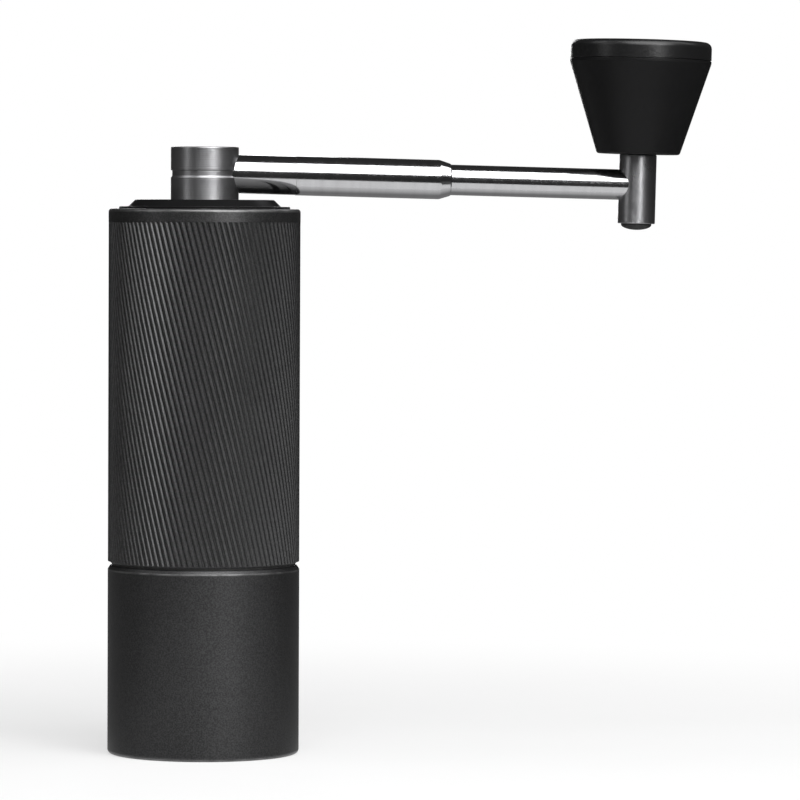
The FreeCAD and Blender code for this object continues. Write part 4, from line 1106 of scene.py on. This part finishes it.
@dataclass
class Lid(SubAssembly):
    """Stepped lid with a plug ring under it."""

    top: float = 150.2
    flange_top: float = 148.35
    flange_edge: float = 0.3
    seat: float = 145.75
    seat_round: float = 0.08
    radius: float = 23.15
    bevel_radius: float = 20.65
    crown_radius: float = 18.75
    crown_edge: float = 0.5
    plug_bottom: float = 141.75
    plug_radius: float = 21.35
    plug_inner_radius: float = 19.55
    hole_radius: float = 6.7
    inner_edge: float = 0.25
    plate: float = 2.3
    slope: Span = (0.4, 1.85)

    def build(self) -> None:
        """Builds the lid."""
        under = self.top - self.plate
        inset, drop = self.slope
        loop = lathe([
            (self.hole_radius, under), (self.crown_radius - inset, under, SOFT),
            (self.plug_inner_radius, under - drop, SOFT),
            (self.plug_inner_radius, self.plug_bottom, self.inner_edge),
            (self.plug_radius, self.plug_bottom, SOFT), (self.plug_radius, self.seat, self.seat_round),
            (self.radius, self.seat, EASED), (self.radius, self.flange_top, self.flange_edge),
            (self.bevel_radius, self.flange_top, EASED), (self.crown_radius, self.top, self.crown_edge),
            (self.hole_radius, self.top, self.inner_edge), (self.hole_radius, under),
        ])
        self.fit(Skin("lid_plate", [loop]), LID_PLASTIC, "lid", "black_plastic", "lid")


@dataclass
class Crank(SubAssembly):
    """Turned steel hub with a shallow groove and a hexagon socket."""

    radius: float = 9.2
    bottom: float = 150.22
    bottom_edge: float = 0.06
    top: float = 164.5
    top_edge: float = 0.35
    spigot_radius: float = 6.4
    spigot_bottom: float = 143.1
    groove_low: float = 156.15
    groove_high: float = 158.15
    groove_depth: float = 0.36
    groove_slope: float = 0.5
    groove_edges: Span = (0.06, 0.08)
    socket_corner: float = 3.98
    socket_top: float = 159.0
    socket_rim: float = 0.3
    segments: int = 156

    def hexagon(self, level: float) -> Grid:
        """Lays out the socket's hexagon.

        Args:
            level: Its level in millimetres.

        Returns:
            One row of points round it.
        """
        angles = steps_round(self.segments)
        flat = self.socket_corner * math.cos(math.pi / 6)
        radius = flat / np.cos(angles % (math.pi / 3) - math.pi / 6)
        return about_axis(radius, angles, level) * MM

    def build(self) -> None:
        """Builds the hub's outside, its socket and the ring between them."""
        floor = self.radius - self.groove_depth
        inner_edge, outer_edge = self.groove_edges
        outside = lathe([
            (self.socket_corner + self.socket_rim, self.spigot_bottom),
            (self.spigot_radius, self.spigot_bottom, SOFT),
            (self.spigot_radius, self.bottom, SHARP), (self.radius, self.bottom, self.bottom_edge),
            (self.radius, self.groove_low, CRISP), (floor, self.groove_low + self.groove_slope, CRISP),
            (floor, self.groove_high, inner_edge), (self.radius, self.groove_high, outer_edge),
            (self.radius, self.top, self.top_edge), (CENTRE, self.top),
        ], segments=self.segments, steps=6, cap_end=True)
        mouth = self.hexagon(self.spigot_bottom)
        ring = np.stack([mouth, outside.grid[0]])
        socket = np.stack([self.hexagon(self.socket_top), mouth])
        skin = Skin("hub_barrel", [outside, Patch(ring), Patch(socket, cap_start=True)])
        self.fit(skin, HUB_STEEL, "crank", "turned_steel", "crank_hub")
        self.dress(ARM_STEEL, "arm_stub")
        self.dress(SHAFT_STEEL, "fold_pin")


@dataclass
class LockSleeve(SubAssembly):
    """Sleeve that locks the arm's hinge, with a rounded taper at its outer end."""

    start: float = 24.63
    start_edge: float = 0.03
    end: float = 66.95
    end_radius: float = 4.3
    radius: float = 5.35
    bore: float = 4.2
    taper: float = 3.1
    shoulder_round: float = 2.0
    nose: float = 0.35
    nose_radius: float = 4.48

    def build(self) -> None:
        """Builds the sleeve on the arm's axis."""
        loop = lathe([
            (self.bore, self.start), (self.radius, self.start, self.start_edge),
            (self.radius, self.end - self.taper, self.shoulder_round),
            (self.nose_radius, self.end - self.nose, SOFT), (self.end_radius, self.end, SHARP),
            (self.bore, self.end), (self.bore, self.start),
        ], segments=120, steps=10)
        skin = Skin("sleeve_tube", [loop])
        tube = self.fit(skin, ARM_STEEL, "sleeve", "polished_steel", "lock_sleeve", ARM_LATHE)
        TAPER_PANEL.keep(Share.ALONE, tube)
        FRONT_SOFTBOX.keep(Share.ALL_BUT, tube)
        self.dress(ARM_STEEL, "arm_rod")
        self.dress(RUBBER, "sleeve_o_ring")


@dataclass
class KnobPost(SubAssembly):
    """Steel post at the arm's end, with a rubber foot under it."""

    radius: float = 5.1
    bottom: float = -10.55
    top: float = 8.3
    edge: float = 0.3
    axle_hole: float = 2.03
    axle_depth: float = 3.6
    stem_radius: float = 2.5
    stem_gap: float = 0.03
    stem_top: float = -7.65
    stem_centre: float = 0.3
    foot_radius: float = 4.15
    foot_bottom: float = -12.25
    foot_edge: float = 0.25
    crown_arc: Span = (0.06, 1.5)
    crown_points: int = 14

    def build(self) -> None:
        """Builds the post and its foot."""
        hole = self.stem_radius + self.stem_gap
        post = lathe([
            (hole, self.stem_top), (hole, self.bottom, SHARP), (self.radius, self.bottom, self.edge),
            (self.radius, self.top, self.edge), (self.axle_hole, self.top, SHARP),
            (self.axle_hole, self.top - self.axle_depth),
        ], segments=120)
        self.fit(Skin("post_barrel", [post]), POST_STEEL, "arm", "polished_steel", "knob_post", POST)
        side = self.bottom - self.foot_edge
        bulge = side - self.foot_bottom
        crown = [(self.foot_radius * math.sin(turn), side - bulge * math.cos(turn))
                 for turn in np.linspace(*self.crown_arc, self.crown_points)]
        foot = lathe([
            *crown, (self.foot_radius, self.bottom, SHARP), (self.stem_radius, self.bottom, SHARP),
            (self.stem_radius, self.stem_top, EASED), (self.stem_centre, self.stem_top),
        ], segments=96, steps=8, cap_start=True, cap_end=True)
        self.fit(Skin("rubber_foot", [foot]), RUBBER, "arm", "black_rubber", "post_bumper", POST)


@dataclass
class Knob(SubAssembly):
    """Conical plastic knob with a slightly domed cap."""

    bottom: float = 8.45
    seam: float = 34.1
    top: float = 39.6
    base_radius: float = 11.3
    base_edge: float = 0.8
    rim_radius: float = 19.3
    land: float = 0.7
    land_edge: float = 0.5
    bore: float = 4.03
    room_radius: float = 5.8
    room_floor: float = 29.3
    cap_floor: float = 32.7
    spigot_radius: float = 17.1
    gap: float = 0.1
    seam_width: float = 0.2
    seam_depth: float = 0.3
    lip_edge: float = 0.15
    dome: float = 0.4
    dome_round: float = 30.0
    top_round: float = 1.8

    def build(self) -> None:
        """Builds the grip and its cap on the post's axis."""
        spigot_room = self.spigot_radius + self.gap
        ledge = self.cap_floor - self.gap
        grip = lathe([
            (self.bore, self.bottom), (self.base_radius, self.bottom, self.base_edge),
            (self.rim_radius, self.seam - self.land, self.land_edge), (self.rim_radius, self.seam, CRISP),
            (spigot_room, self.seam, SHARP), (spigot_room, ledge, SHARP), (self.room_radius, ledge, SHARP),
            (self.room_radius, self.room_floor, SHARP), (self.bore, self.room_floor, SHARP),
            (self.bore, self.bottom),
        ], segments=192)
        self.fit(Skin("knob_grip", [grip]), KNOB_PLASTIC, "knob", "black_plastic", "knob_body", POST)
        neck = self.rim_radius - self.seam_depth
        lip = self.seam + self.seam_width
        cap = lathe([
            (CENTRE, self.cap_floor), (self.spigot_radius, self.cap_floor, EASED),
            (self.spigot_radius, self.seam, SHARP), (neck, self.seam, SHARP), (neck, lip, SHARP),
            (self.rim_radius, lip, self.lip_edge), (self.rim_radius, self.top - self.dome, self.top_round),
            (self.rim_radius / 2, self.top - self.dome / 4, self.dome_round), (CENTRE, self.top),
        ], segments=192, steps=8, cap_start=True, cap_end=True)
        self.fit(Skin("knob_top", [cap]), CAP_PLASTIC, "knob", "black_plastic", "knob_cap", POST)
        self.dress(SHAFT_STEEL, "knob_axle", "knob_washer")
        self.dress(BRASS, "knob_bushes")


def main() -> None:
    """Builds the scene in order."""
    logging.basicConfig(level=logging.INFO, format="%(message)s")
    PhotoCamera().make()
    Studio().make()
    for assembly in (CatchCup(), MillBody(), Bearings(), GrindingRotor(), AdjustingDial(), Lid(), Crank(),
                     LockSleeve(), KnobPost(), Knob()):
        assembly.build()


if __name__ == "__main__":
    main()
